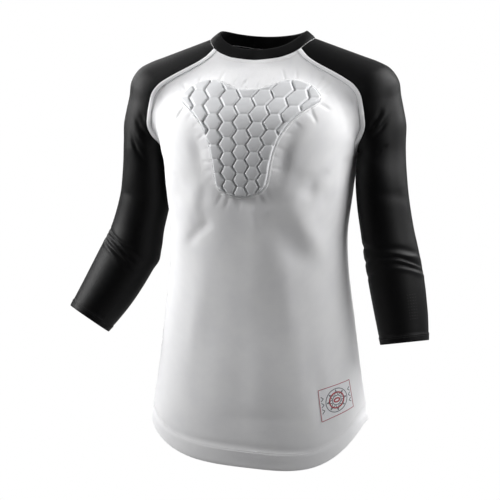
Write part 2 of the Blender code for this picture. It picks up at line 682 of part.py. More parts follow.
def loop_area(loop):
    """Area inside a loop."""
    if len(loop) < 3:
        return 0.0
    x = np.array([p[0] for p in loop])
    z = np.array([p[1] for p in loop])
    return 0.5 * abs(float(np.dot(x, np.roll(z, -1)) - np.dot(z, np.roll(x, -1))))


def pad_cells():
    """Six-sided cells of the pad: flat-topped, in columns that run together downwards."""
    cells = []
    z_line = [CELL_START]
    while z_line[-1] > PAD_OUTLINE[-1][1] - 30.0:
        z_line.append(z_line[-1] - 0.5 * pad_row(z_line[-1])[1])
    for column in range(-5, 6):
        for k in range(1 + column % 2, len(z_line) - 1, 2):
            top, middle, low = z_line[k - 1], z_line[k], z_line[k + 1]
            cell = []
            for share, z in ((1 / 3, top), (-1 / 3, top), (-2 / 3, middle), (-1 / 3, low), (1 / 3, low),
                             (2 / 3, middle)):
                cell.append(((column + share) * pad_row(z)[0], z))
            cells.append(cell)
    return cells


def pad_plan():
    """Loops of the pad in the front view: (points, height above the underside)."""
    right = list(PAD_OUTLINE)
    whole = right + [(-x, z) for x, z in right[1:-1][::-1]]
    smooth = resample(np.array([(x, z, 0.0) for x, z in whole]), 64, closed=True)[:, :2]
    if np.dot(smooth[:, 0], np.roll(smooth[:, 1], -1)) < np.dot(smooth[:, 1], np.roll(smooth[:, 0], -1)):
        smooth = smooth[::-1]
    loops = [(smooth, 2.0), (inset(smooth, PAD_RIM), PAD_BASE)]
    base_edge = inset(smooth, PAD_RIM + 0.8)
    top_edge = inset(smooth, PAD_RIM + 0.8 + CELL_SLOPE)
    for cell in pad_cells():
        top = tidy_loop(clip(top_edge, inset(cell, 0.5 * GROOVE + CELL_SLOPE)), 2.0)
        base = tidy_loop(clip(base_edge, inset(cell, 0.5 * GROOVE)), 2.0)
        if loop_area(top) < 30.0 or len(base) < 3:
            continue
        loops.append((base, PAD_BASE))
        loops.append((top, PAD_BASE + PAD_CELL))
    return loops


def chest_pad(front_outer):
    """Pad solid on the front panel: plain underside, cells raised on its face."""
    grid = [Vector(p) for row in front_outer for p in row]
    columns = front_outer.shape[1]
    quads = []
    for r in range(len(front_outer) - 1):
        for c in range(columns - 1):
            quads.append((r * columns + c, r * columns + c + 1, (r + 1) * columns + c + 1, (r + 1) * columns + c))
    tree = bvhtree.BVHTree.FromPolygons(grid, quads)

    def on_front(x, z, height):
        hit = tree.ray_cast(Vector((x, -400.0, z)), Vector((0.0, 1.0, 0.0)))[0]
        point = np.array(hit)
        normal = unit(gradient(figure_distance, point[None]))[0]
        return point + normal * height

    loops = pad_plan()
    edge = loops[0][0]
    count = len(edge)
    plan = []
    heights = []
    edges = []
    for points, height in loops:
        start = len(plan)
        for k, point in enumerate(points):
            plan.append(Vector((float(point[0]), float(point[1]))))
            heights.append(height)
            edges.append((start + k, start + (k + 1) % len(points)))
    result = geometry.delaunay_2d_cdt(plan, edges[count:], [list(range(count))], 1, 1e-4)
    face_plan, faces_top, origin = result[0], result[2], result[3]
    vertices = []
    for point, source in zip(face_plan, origin):
        height = heights[source[0]] if source else PAD_BASE
        vertices.append(on_front(point.x, point.y, PAD_LIFT + height))
    rim = [next(i for i, source in enumerate(origin) if k in source) for k in range(count)]
    faces = [list(face) for face in faces_top]
    under_plan = [Vector((float(p[0]), float(p[1]))) for p in edge]
    inner_edge = inset(edge, 5.0)
    for x in np.arange(-108.0, 109.0, 12.0):
        for z in np.arange(-252.0, -84.0, 12.0):
            if inside_loop(inner_edge, x, z):
                under_plan.append(Vector((float(x), float(z))))
    result = geometry.delaunay_2d_cdt(under_plan, [], [list(range(count))], 1, 1e-4)
    start = len(vertices)
    for point in result[0]:
        vertices.append(on_front(point.x, point.y, PAD_LIFT))
    under_rim = [start + next(i for i, source in enumerate(result[3]) if k in source) for k in range(count)]
    faces += [[start + i for i in reversed(face)] for face in result[2]]
    for k in range(count):
        after = (k + 1) % count
        faces.append([rim[after], rim[k], under_rim[k], under_rim[after]])
    return vertices, faces


def inside_loop(loop, x, z):
    """Whether a point of the front view lies inside a loop."""
    inside = False
    for k in range(len(loop)):
        (x1, z1), (x2, z2) = loop[k - 1], loop[k]
        if (z1 > z) != (z2 > z) and x < (x2 - x1) * (z - z1) / (z2 - z1) + x1:
            inside = not inside
    return inside


def split_quads(vertices, faces):
    """Every four-sided face as two triangles, along its shorter diagonal."""
    out = []
    for face in faces:
        if len(face) == 3:
            out.append(face)
            continue
        a, b, c, d = face
        if math.dist(vertices[a], vertices[c]) <= math.dist(vertices[b], vertices[d]):
            out += [[a, b, c], [a, c, d]]
        else:
            out += [[a, b, d], [b, c, d]]
    return out


def make_object(name, vertices, faces, colour, roughness):
    """One closed named solid with its own material."""
    faces = split_quads(vertices, faces)
    mesh = bpy.data.meshes.new(name)
    mesh.from_pydata([tuple(float(v) * MM for v in p) for p in vertices], [], [list(map(int, f)) for f in faces])
    mesh.validate()
    material = bpy.data.materials.new(name + "_cloth")
    material.use_nodes = True
    shader = material.node_tree.nodes["Principled BSDF"]
    shader.inputs["Base Color"].default_value = colour
    shader.inputs["Roughness"].default_value = roughness
    mesh.materials.append(material)
    item = bpy.data.objects.new(name, mesh)
    bpy.context.scene.collection.objects.link(item)
    return item


WHITE = (0.78, 0.78, 0.79, 1.0)
BLACK = (0.012, 0.012, 0.013, 1.0)
GREY = (0.62, 0.63, 0.64, 1.0)


def build():
    """Build every piece."""
    for old in list(bpy.data.objects):
        bpy.data.objects.remove(old, do_unlink=True)
    lines = shared_lines()
    front_outer, front_inner = body_panel(-1, FRONT_COLUMNS, lines)
    vertices, faces = wall_mesh(front_outer, front_inner)
    make_object("front_panel", vertices, faces, WHITE, 0.7)
    back_outer, back_inner = body_panel(1, BACK_COLUMNS, lines)
    vertices, faces = wall_mesh(back_outer[:, ::-1], back_inner[:, ::-1])
    make_object("back_panel", vertices, faces, WHITE, 0.7)
    for name, sign, rows in (("sleeve_left", 1, ARM_LEFT), ("sleeve_right", -1, ARM_RIGHT)):
        outer, inner = sleeve(sign, rows, lines)
        if sign < 0:
            outer = outer[:, ::-1]
            inner = inner[:, ::-1]
        vertices, faces = wall_mesh(outer, inner, SLEEVE_ROWS + 1)
        make_object(name, vertices, faces, BLACK, 0.75)
    vertices, faces = collar(lines)
    make_object("collar_band", vertices, faces, BLACK, 0.8)
    vertices, faces = chest_pad(front_outer)
    make_object("chest_pad", vertices, faces, GREY, 0.6)


build()
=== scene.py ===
"""Padded compression shirt in its worn form: knit cloth, foam chest pad, stitching and a plain studio.

Sizes are millimetres until a mesh is written. The front faces -Y and +X is the wearer's left.
"""
import logging
import math
from dataclasses import dataclass
from enum import Enum
from functools import cached_property
from typing import Callable, Optional, Sequence

import bpy
import numpy as np
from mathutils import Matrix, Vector, bvhtree, geometry

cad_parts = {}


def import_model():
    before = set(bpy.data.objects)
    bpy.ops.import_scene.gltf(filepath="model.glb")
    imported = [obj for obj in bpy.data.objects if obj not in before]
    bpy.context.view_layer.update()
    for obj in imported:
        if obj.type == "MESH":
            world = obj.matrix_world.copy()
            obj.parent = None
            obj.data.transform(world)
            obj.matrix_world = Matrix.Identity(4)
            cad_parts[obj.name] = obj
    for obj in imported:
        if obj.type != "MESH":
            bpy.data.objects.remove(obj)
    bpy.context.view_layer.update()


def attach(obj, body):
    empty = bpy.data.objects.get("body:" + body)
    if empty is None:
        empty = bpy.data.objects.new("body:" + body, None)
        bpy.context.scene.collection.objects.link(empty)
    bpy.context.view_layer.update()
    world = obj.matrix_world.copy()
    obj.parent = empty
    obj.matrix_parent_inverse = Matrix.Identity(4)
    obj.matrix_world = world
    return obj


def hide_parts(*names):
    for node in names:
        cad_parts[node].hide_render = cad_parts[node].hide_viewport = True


LOG = logging.getLogger("shirt")
MM = 0.001
Array = np.ndarray

SEAM_GAP = 0.3
PAD_LIFT = 0.75
PAD_BASE = 3.2
PAD_CELL = 2.4
UNDERARM = (158.0, -1.0, -192.0)
ARMPIT_Z = -192.0
CHEST_DIP = 36.0
RING_DIP = 44.0
RING_REACH = 130.0
HEM_SIDE_Z = -615.0
HEM_DROP = 66.0
HEM_TILT = 14.0
HEM_TURN = 24.0
FRONT_COLUMNS = 30
BACK_COLUMNS = 24
SLEEVE_COLUMNS = 20
BODY_ROWS = 20
YOKE_ROWS = 14
SLEEVE_ROWS = 27

# z, half width, front y, back y, y of the widest line, squareness
TORSO = (
    (-720.0, 178.0, -112.0, 78.0, -18.0, 2.25),
    (-615.0, 176.0, -112.0, 78.0, -18.0, 2.25),
    (-540.0, 165.0, -108.0, 72.0, -18.0, 2.3),
    (-460.0, 155.0, -104.0, 64.0, -18.0, 2.3),
    (-380.0, 145.0, -104.0, 60.0, -18.0, 2.3),
    (-320.0, 142.5, -108.0, 64.0, -18.0, 2.3),
    (-265.0, 149.0, -114.0, 72.0, -19.0, 2.3),
    (-225.0, 153.0, -116.0, 78.0, -19.0, 2.35),
    (-192.0, 158.0, -115.0, 82.0, -18.0, 2.35),
    (-160.0, 166.0, -110.0, 84.0, -14.0, 2.3),
    (-130.0, 166.0, -100.0, 82.0, -10.0, 2.2),
    (-100.0, 150.0, -80.0, 76.0, -5.0, 2.1),
    (-75.0, 118.0, -62.0, 68.0, 0.0, 2.0),
    (-50.0, 88.0, -42.0, 58.0, 3.0, 2.0),
    (-25.0, 66.0, -28.0, 48.0, 5.0, 2.0),
    (0.0, 56.0, -20.0, 42.0, 6.0, 2.0),
    (40.0, 50.0, -14.0, 36.0, 6.0, 2.0),
)
# z, x, y, half width, half depth
ARM_TOP = (
    (-240.0, 197.5, -1.0, 40.0, 45.0),
    (-192.0, 195.0, -1.0, 37.0, 45.0),
    (-145.0, 184.0, 2.0, 48.0, 49.0),
    (-98.0, 173.0, 4.0, 50.0, 50.0),
)
ARM_SWAY = (-10.5, 6.0)
YOKE_NECK = (40.0, 6.0, -40.0, 40.0)
YOKE_ARM = (173.0, 4.0, -98.0, 50.0)
# x, y, z of the raglan's crest over the left shoulder, and of the hubs that its arcs turn round
YOKE_CREST = (
    (228.0, 1.0, -140.0), (223.0, 3.0, -98.0), (205.0, 4.0, -60.0), (170.0, 4.0, -42.0), (125.0, 4.0, -27.0),
)
YOKE_HUBS = (
    (195.0, -1.0, -192.0), (186.0, 2.0, -140.0), (168.0, 4.0, -104.0), (120.0, 5.0, -84.0), (60.0, 6.0, -62.0),
)
# x, y, z, half width, half depth
ARM_LEFT = (
    (195.0, -1.0, -192.0, 37.0, 45.0),
    (196.5, -10.0, -230.0, 40.0, 45.0),
    (201.0, -15.0, -270.0, 41.0, 43.0),
    (208.5, -17.0, -315.0, 41.5, 43.0),
    (215.5, -19.0, -350.0, 43.0, 44.0),
    (223.5, -21.0, -388.0, 43.5, 43.0),
    (232.5, -25.0, -436.0, 42.0, 41.0),
    (240.0, -30.0, -486.0, 37.7, 38.0),
)
ARM_RIGHT = (
    (-195.0, -1.0, -192.0, 37.0, 45.0),
    (-196.5, 5.0, -230.0, 40.0, 45.0),
    (-202.0, 9.0, -270.0, 41.0, 43.0),
    (-214.0, 11.0, -315.0, 42.0, 44.0),
    (-221.5, 7.0, -346.0, 46.0, 45.5),
    (-237.5, 0.0, -380.0, 46.5, 44.5),
    (-259.5, -14.0, -423.0, 43.5, 43.0),
    (-286.0, -29.0, -467.0, 37.0, 41.0),
)
# x, y, z from the underarm to the neckline, left side
SEAM_FRONT = (
    UNDERARM, (160.0, -22.0, -187.0), (165.0, -36.0, -178.0), (172.0, -43.0, -168.0),
    (177.0, -46.0, -158.0), (179.0, -47.0, -147.0), (178.0, -49.0, -133.0), (175.0, -52.0, -114.0),
    (168.5, -56.0, -95.4), (162.0, -58.0, -86.0), (152.0, -60.0, -76.5), (138.0, -60.0, -67.0),
    (121.0, -56.0, -57.7), (99.5, -48.0, -48.0), (82.0, -38.0, -38.0), (71.0, -27.0, -30.6),
)
SEAM_BACK = (
    UNDERARM, (160.0, 22.0, -187.0), (165.0, 36.0, -178.0), (172.0, 46.0, -164.0),
    (176.0, 53.0, -146.0), (175.0, 58.0, -126.0), (167.0, 62.0, -104.0), (153.0, 65.0, -85.0),
    (134.0, 65.0, -68.0), (110.0, 62.0, -52.0), (86.0, 53.0, -36.0), (62.0, 42.0, -22.0),
)
# x, y, z of the neckline seam, then of the collar's top edge
NECK = (
    (0.0, -40.0, -48.0, 0.0, -33.0, -31.0),
    (36.0, -37.0, -45.0, 33.0, -30.0, -28.0),
    (58.0, -32.0, -38.0, 53.0, -23.0, -20.0),
    (71.0, -27.0, -30.6, 63.0, -15.0, -11.0),
    (83.0, -10.0, -18.0, 70.0, -2.0, -2.0),
    (84.0, 12.0, -13.0, 70.0, 13.0, 0.0),
    (76.0, 30.0, -16.0, 62.0, 27.0, -2.0),
    (62.0, 42.0, -22.0, 51.0, 36.0, -5.0),
    (34.0, 51.0, -27.0, 28.0, 43.0, -8.0),
    (0.0, 54.0, -29.0, 0.0, 45.0, -9.5),
)
# x, z, tilt in degrees, length, width, depth, side (-1 front, 1 back)
BODY_FOLDS = (
    (0.0, -330.0, 90.0, 150.0, 60.0, -2.0, -1),
    (-95.0, -300.0, 62.0, 120.0, 30.0, 1.6, -1),
    (-118.0, -262.0, 40.0, 80.0, 20.0, -1.6, -1),
    (96.0, -292.0, -58.0, 120.0, 30.0, 1.8, -1),
    (112.0, -250.0, -40.0, 80.0, 20.0, -1.8, -1),
    (70.0, -430.0, -80.0, 170.0, 34.0, 1.8, -1),
    (-80.0, -450.0, 80.0, 170.0, 36.0, 1.6, -1),
    (0.0, -545.0, 88.0, 170.0, 60.0, -2.2, -1),
    (120.0, -570.0, -75.0, 110.0, 26.0, -1.6, -1),
    (0.0, -300.0, 90.0, 240.0, 46.0, -3.0, 1),
    (-70.0, -380.0, 30.0, 110.0, 22.0, -2.0, 1),
    (68.0, -345.0, -28.0, 120.0, 22.0, -2.0, 1),
    (-40.0, -430.0, 12.0, 130.0, 24.0, -2.0, 1),
    (60.0, -560.0, 84.0, 120.0, 34.0, 2.0, 1),
    (-84.0, -560.0, 96.0, 120.0, 34.0, 1.8, 1),
)
# Pad outline, left half of the body: x, z from the top centre downwards
PAD_OUTLINE = (
    (0.0, -95.5), (18.0, -94.0), (32.0, -90.0), (44.0, -85.0), (56.0, -81.5), (68.0, -80.5),
    (82.0, -84.0), (95.0, -89.5), (105.0, -97.0), (112.0, -107.0), (110.0, -113.0),
    (99.0, -121.0), (88.0, -129.0), (75.0, -141.0), (64.0, -156.0), (55.0, -173.0),
    (49.0, -191.0), (45.0, -209.0), (42.0, -228.0), (38.0, -241.0), (30.0, -250.0),
    (16.0, -256.0), (0.0, -258.0),
)
# Finer creases of the body, seen from the front: line of x, z; width; depth; side
BODY_CREASES = (
    (((26.0, -262.0), (30.0, -430.0), (34.0, -610.0)), 64.0, 6.5, -1),
    (((32.0, -285.0), (66.0, -322.0), (104.0, -372.0)), 20.0, -3.2, -1),
    (((70.0, -262.0), (100.0, -318.0), (128.0, -370.0)), 15.0, 1.8, -1),
    (((14.0, -262.0), (20.0, -285.0), (26.0, -306.0)), 7.0, 1.6, -1),
    (((-96.0, -336.0), (-74.0, -314.0), (-50.0, -296.0)), 9.0, -1.7, -1),
    (((86.0, -142.0), (68.0, -188.0), (56.0, -244.0)), 12.0, -3.6, -1),
    (((-88.0, -150.0), (-72.0, -190.0), (-62.0, -236.0)), 13.0, -2.4, -1),
    (((-60.0, -238.0), (-66.0, -276.0), (-58.0, -300.0)), 10.0, -1.2, -1),
    (((132.0, -216.0), (110.0, -236.0), (92.0, -262.0)), 9.0, -1.6, -1),
    (((-136.0, -212.0), (-116.0, -232.0), (-98.0, -250.0)), 8.0, -1.4, -1),
    (((26.0, -70.0), (2.0, -74.0), (-22.0, -70.0)), 12.0, -1.2, -1),
    (((-34.0, -120.0), (-20.0, -180.0), (-16.0, -250.0)), 14.0, -1.6, 1),
    (((-112.0, -190.0), (-84.0, -228.0), (-60.0, -276.0)), 12.0, -1.6, 1),
    (((112.0, -186.0), (88.0, -226.0), (66.0, -278.0)), 12.0, -1.6, 1),
    (((-122.0, -322.0), (-84.0, -338.0), (-44.0, -340.0)), 9.0, -1.5, 1),
    (((120.0, -338.0), (84.0, -352.0), (46.0, -352.0)), 9.0, -1.5, 1),
    (((-116.0, -392.0), (-70.0, -410.0), (-24.0, -414.0)), 10.0, -1.2, 1),
)
# Creases of the raglan top beside the underarm: line of x, z; width; depth; side
TOP_LEFT = (
    (((206.0, -122.0), (197.0, -138.0), (186.0, -155.0)), 3.4, -2.6, -1),
    (((211.0, -128.0), (201.0, -146.0), (189.0, -162.0)), 3.2, 1.4, -1),
    (((216.0, -134.0), (204.0, -153.0), (190.0, -169.0)), 3.2, -2.2, -1),
    (((214.0, -180.0), (205.0, -185.0), (196.0, -190.0)), 3.0, -1.5, -1),
    (((208.0, -116.0), (196.0, -140.0), (184.0, -166.0)), 4.0, -2.2, 1),
    (((218.0, -136.0), (204.0, -158.0), (190.0, -180.0)), 4.0, -1.8, 1),
)
TOP_RIGHT = (
    (((-199.0, -141.0), (-188.0, -157.0), (-174.0, -173.0)), 3.4, -2.4, -1),
    (((-203.0, -152.0), (-191.0, -170.0), (-179.0, -187.0)), 3.2, 1.2, -1),
    (((-208.0, -166.0), (-199.0, -187.0), (-186.0, -208.0)), 3.4, -2.4, -1),
    (((-192.0, -132.0), (-181.0, -146.0), (-171.0, -158.0)), 3.0, -1.6, -1),
    (((-206.0, -118.0), (-196.0, -142.0), (-184.0, -168.0)), 4.0, -2.2, 1),
    (((-216.0, -140.0), (-203.0, -160.0), (-190.0, -182.0)), 4.0, -1.8, 1),
)
# Creases round the sleeves: place, middle angle, slant, reach, width, depth, bend
RING_LEFT = (
    (70.0, 60.0, -0.16, 40.0, 9.0, -1.2, 0.0),
    (156.0, 64.0, -0.19, 44.0, 5.5, -2.2, 0.0),
    (165.0, 52.0, -0.22, 50.0, 4.2, 1.6, 0.0),
    (173.0, 48.0, -0.27, 52.0, 3.4, -3.2, 3.0),
    (179.0, 45.0, -0.25, 50.0, 2.8, 1.8, 2.0),
    (184.5, 42.0, -0.24, 48.0, 3.2, -3.0, 2.0),
    (192.0, 40.0, -0.20, 50.0, 4.4, 1.6, 0.0),
    (143.0, 152.0, 0.0, 26.0, 4.0, -2.6, 0.0),
    (164.0, 156.0, 0.0, 24.0, 3.6, -1.8, 0.0),
    (188.0, 152.0, 0.0, 22.0, 3.6, -1.6, 0.0),
    (150.0, -96.0, 0.16, 48.0, 5.0, -2.2, 0.0),
    (166.0, -102.0, 0.14, 54.0, 4.4, -2.6, 0.0),
    (175.0, -100.0, 0.12, 50.0, 4.0, 1.4, 0.0),
    (184.0, -94.0, 0.10, 46.0, 4.6, -2.0, 0.0),
    (60.0, -84.0, 0.14, 44.0, 8.0, -1.8, 0.0),
    (236.0, -60.0, 0.10, 50.0, 14.0, -1.0, 0.0),
)
RING_RIGHT = (
    (74.0, 80.0, 0.14, 40.0, 9.0, -1.0, 0.0),
    (158.5, 75.0, 0.25, 50.0, 3.2, -2.6, 0.0),
    (163.5, 76.0, 0.26, 48.0, 2.6, 1.5, 0.0),
    (168.5, 76.0, 0.28, 48.0, 3.0, -2.4, 0.0),
    (173.5, 74.0, 0.29, 46.0, 2.8, 1.4, 0.0),
    (179.0, 70.0, 0.30, 46.0, 3.2, -2.6, 0.0),
    (187.0, 72.0, 0.30, 46.0, 4.4, 1.3, 0.0),
    (166.0, -166.0, 0.0, 40.0, 9.0, 2.6, 0.0),
    (150.0, -80.0, 0.10, 50.0, 5.0, -2.2, 0.0),
    (164.0, -84.0, 0.12, 54.0, 4.4, -2.6, 0.0),
    (174.0, -82.0, 0.12, 50.0, 4.0, 1.4, 0.0),
    (183.0, -78.0, 0.14, 46.0, 4.6, -2.0, 0.0),
    (62.0, -80.0, 0.12, 44.0, 8.0, -1.8, 0.0),
)
# Woven patch on the front beside the hem: its corners from the upper left, anticlockwise from the front
PATCH_CORNERS = (
    (115.0, -88.0, -558.0), (122.0, -89.0, -609.0), (164.0, -52.0, -587.0), (157.0, -53.0, -543.0),
)
PATCH_SIZE = (57.0, 48.0)
# Stitch rows, in millimetres: above the hem, below the neckline, outside the pad and above the cuff
HEM_ROWS = (24.5, 27.5)
NECK_ROW = 5.5
PAD_ROWS = (0.9, 3.1)
CUFF_ROWS = (8.0, 10.5)
# Vent dots on the near forearm: places down the sleeve, angles round it and the step between rows
VENT_FIELD = ((228.0, 268.0), (40.0, 61.0), 4.6)
# Soft boxes in metres: name, turn from the front towards the wearer's left, reach, height, size, watts
LAMPS = (
    ("box_far", -76.0, 1.25, 0.25, (0.6, 0.8), 24.5),
    ("box_near", 72.0, 1.25, 0.2, (0.6, 0.8), 9.5),
    ("side_near", 100.0, 1.25, 1.0, (0.6, 0.8), 26.0),
    ("rim_near", 126.0, 1.25, 0.4, (0.5, 0.9), 13.0),
    ("side_far", -98.0, 1.25, 0.45, (0.6, 0.8), 2.5),
    ("rim_far", -122.0, 1.25, 0.45, (0.5, 0.9), 4.5),
)


def unit(vector: Array) -> Array:
    """Vectors of length one."""
    return vector / np.maximum(np.linalg.norm(vector, axis=-1, keepdims=True), 1e-9)


def mirror(points: Array) -> Array:
    """The same points on the body's other side."""
    return np.array(points) * np.array([-1.0, 1.0, 1.0])


def smooth_step(value: Array) -> Array:
    """0 below 0, 1 above 1 and an even curve between."""
    value = np.clip(value, 0.0, 1.0)
    return value * value * (3.0 - 2.0 * value)


def run_length(grid: Array) -> Array:
    """Millimetres along the first axis of a line or grid, from its first row."""
    step = np.linalg.norm(np.diff(grid[..., :3], axis=0), axis=-1)
    return np.concatenate([np.zeros((1, *step.shape[1:])), np.cumsum(step, axis=0)])


def column_curve(rows: Sequence, at: Array) -> Array:
    """Smooth value of every column of a table.

    Args:
        rows: Table whose first column is the position.
        at: Positions at which the other columns are wanted.

    Returns:
        The other columns' values, on a new last axis.
    """
    table = np.array(sorted(rows), dtype=float)
    keys, values = table[:, 0], table[:, 1:]
    slope = np.zeros_like(values)
    slope[1:-1] = (values[2:] - values[:-2]) / (keys[2:] - keys[:-2])[:, None]
    at = np.clip(np.asarray(at, dtype=float), keys[0], keys[-1])
    low = np.clip(np.searchsorted(keys, at, side="right") - 1, 0, len(keys) - 2)
    span = (keys[low + 1] - keys[low])[..., None]
    t = ((at - keys[low])[..., None]) / span
    first = values[low] * (2 * t ** 3 - 3 * t ** 2 + 1) + slope[low] * span * (t ** 3 - 2 * t ** 2 + t)
    second = values[low + 1] * (3 * t ** 2 - 2 * t ** 3) + slope[low + 1] * span * (t ** 3 - t ** 2)
    return first + second


def resample(points: Array, count: int, closed: bool = False) -> Array:
    """Points at equal arc steps on a smooth line through the given points.

    Args:
        points: Points in order; columns after the third ride along.
        count: Number of points wanted.
        closed: Whether the line closes on itself.

    Returns:
        The new points.
    """
    points = np.array(points, dtype=float)
    if closed:
        points = np.vstack([points, points[:1]])
    arc = run_length(points)
    table = [(a, *p) for a, p in zip(arc, points)]
    if closed:
        table = [(arc[-2] - arc[-1], *points[-2])] + table + [(arc[-1] + arc[1], *points[1])]
    fine = column_curve(table, np.linspace(0.0, arc[-1], 40 * len(points)))
    arc = run_length(fine)
    want = np.linspace(0.0, arc[-1], count, endpoint=not closed)
    return np.stack([np.interp(want, arc, fine[:, k]) for k in range(fine.shape[1])], axis=-1)


def refine(values: Array, steps: int, wrap: Optional[Array] = None, corner: Optional[int] = None) -> Array:
    """Finer lines through the same points, along the first axis.

    Args:
        values: Grid of points; extra columns after the third ride along.
        steps: New intervals in place of each old one.
        wrap: For each line, whether its ends join.
        corner: Index at which the outermost lines turn sharply, as at the underarm.

    Returns:
        The finer grid.
    """
    step = np.linalg.norm(np.diff(values[..., :3], axis=0), axis=-1).mean(axis=-1)
    keys = np.concatenate([[0.0], np.cumsum(step)])
    rise = np.diff(values, axis=0) / step[:, None, None]
    slope = np.empty_like(values)
    slope[1:-1] = (values[2:] - values[:-2]) / (keys[2:] - keys[:-2])[:, None, None]
    slope[0], slope[-1] = rise[0], rise[-1]
    if wrap is not None:
        turn = (values[1] - values[0] + values[-1] - values[-2]) / (step[0] + step[-1])
        slope[0] = np.where(wrap[:, None], turn, slope[0])
        slope[-1] = np.where(wrap[:, None], turn, slope[-1])
    below, above = slope.copy(), slope.copy()
    if corner is not None:
        lines = np.arange(values.shape[1])
        weight = np.clip(1.0 - np.minimum(lines, lines[::-1]) / 3.0, 0.0, 1.0)[:, None]
        below[corner] += weight * (rise[corner - 1] - slope[corner])
        above[corner] += weight * (rise[corner] - slope[corner])
    t = (np.arange(steps) / steps)[None, :, None, None]
    h = step[:, None, None, None]
    parts = (
        values[:-1, None] * (2 * t ** 3 - 3 * t ** 2 + 1)
        + above[:-1, None] * h * (t ** 3 - 2 * t ** 2 + t)
        + values[1:, None] * (3 * t ** 2 - 2 * t ** 3)
        + below[1:, None] * h * (t ** 3 - t ** 2)
    )
    return np.concatenate([parts.reshape(-1, *values.shape[1:]), values[-1:]])


def grid_normals(grid: Array, closed_rows: int = 0) -> Array:
    """Outward normals of a grid whose rows run up and whose columns run anticlockwise seen from above."""
    normal = unit(np.cross(np.gradient(grid, axis=1), np.gradient(grid, axis=0)))
    if closed_rows:
        shared = unit(normal[:closed_rows, 0] + normal[:closed_rows, -1])
        normal[:closed_rows, 0] = shared
        normal[:closed_rows, -1] = shared
    return normal


def cloth_map(grid: Array) -> Array:
    """Millimetres along the cloth: across from the middle column and up from the first row."""
    across = run_length(grid.transpose(1, 0, 2)).T
    across = across - across[:, grid.shape[1] // 2][:, None]
    return np.stack([across, run_length(grid)], axis=-1)


def along_lines(arc: Array, point: Array, normal: Array, want: Sequence[float]) -> tuple[Array, Array]:
    """Points and normals at distances along the lines of a grid.

    Args:
        arc: Distance of each grid point along its line; lines run along the first axis.
        point: The grid's points.
        normal: The cloth's outward normals there.
        want: Distances that are wanted.

    Returns:
        Points and normals, one row for each distance.
    """
    both = np.concatenate([point, normal], axis=-1)
    out = np.array([[np.interp(want, arc[:, c], both[:, c, k]) for k in range(6)]
                    for c in range(point.shape[1])]).transpose(2, 0, 1)
    return out[..., :3], unit(out[..., 3:])


def coons(low: Array, high: Array, left: Array, right: Array) -> Array:
    """Surface between four boundary lines; rows run from low to high."""
    t = np.linspace(0.0, 1.0, len(left))[:, None, None]
    u = np.linspace(0.0, 1.0, len(low))[None, :, None]
    across = (1 - t) * low[None] + t * high[None]
    upward = (1 - u) * left[:, None] + u * right[:, None]
    corner = (1 - t) * ((1 - u) * low[0] + u * low[-1]) + t * ((1 - u) * high[0] + u * high[-1])
    return across + upward - corner


def line_distance(points: Array, line: Sequence, closed: bool = False) -> tuple[Array, Array]:
    """Distance of points from a line of short stretches.

    Args:
        points: Points as rows of two or three numbers.
        line: The line's corners.
        closed: Whether the last corner joins the first.

    Returns:
        The distance, and how far along the line the nearest place is, from 0 to 1.
    """
    line = np.array(line, dtype=float)
    if closed:
        line = np.vstack([line, line[:1]])
    arc = run_length(line)
    best = np.full(points.shape[:-1], 1e9)
    along = np.zeros(points.shape[:-1])
    for k in range(len(line) - 1):
        way = line[k + 1] - line[k]
        t = np.clip(((points - line[k]) @ way) / max(float(way @ way), 1e-9), 0.0, 1.0)
        gap = np.linalg.norm(points - line[k] - t[..., None] * way, axis=-1)
        along = np.where(gap < best, (arc[k] + t * (arc[k + 1] - arc[k])) / arc[-1], along)
        best = np.minimum(best, gap)
    return best, along


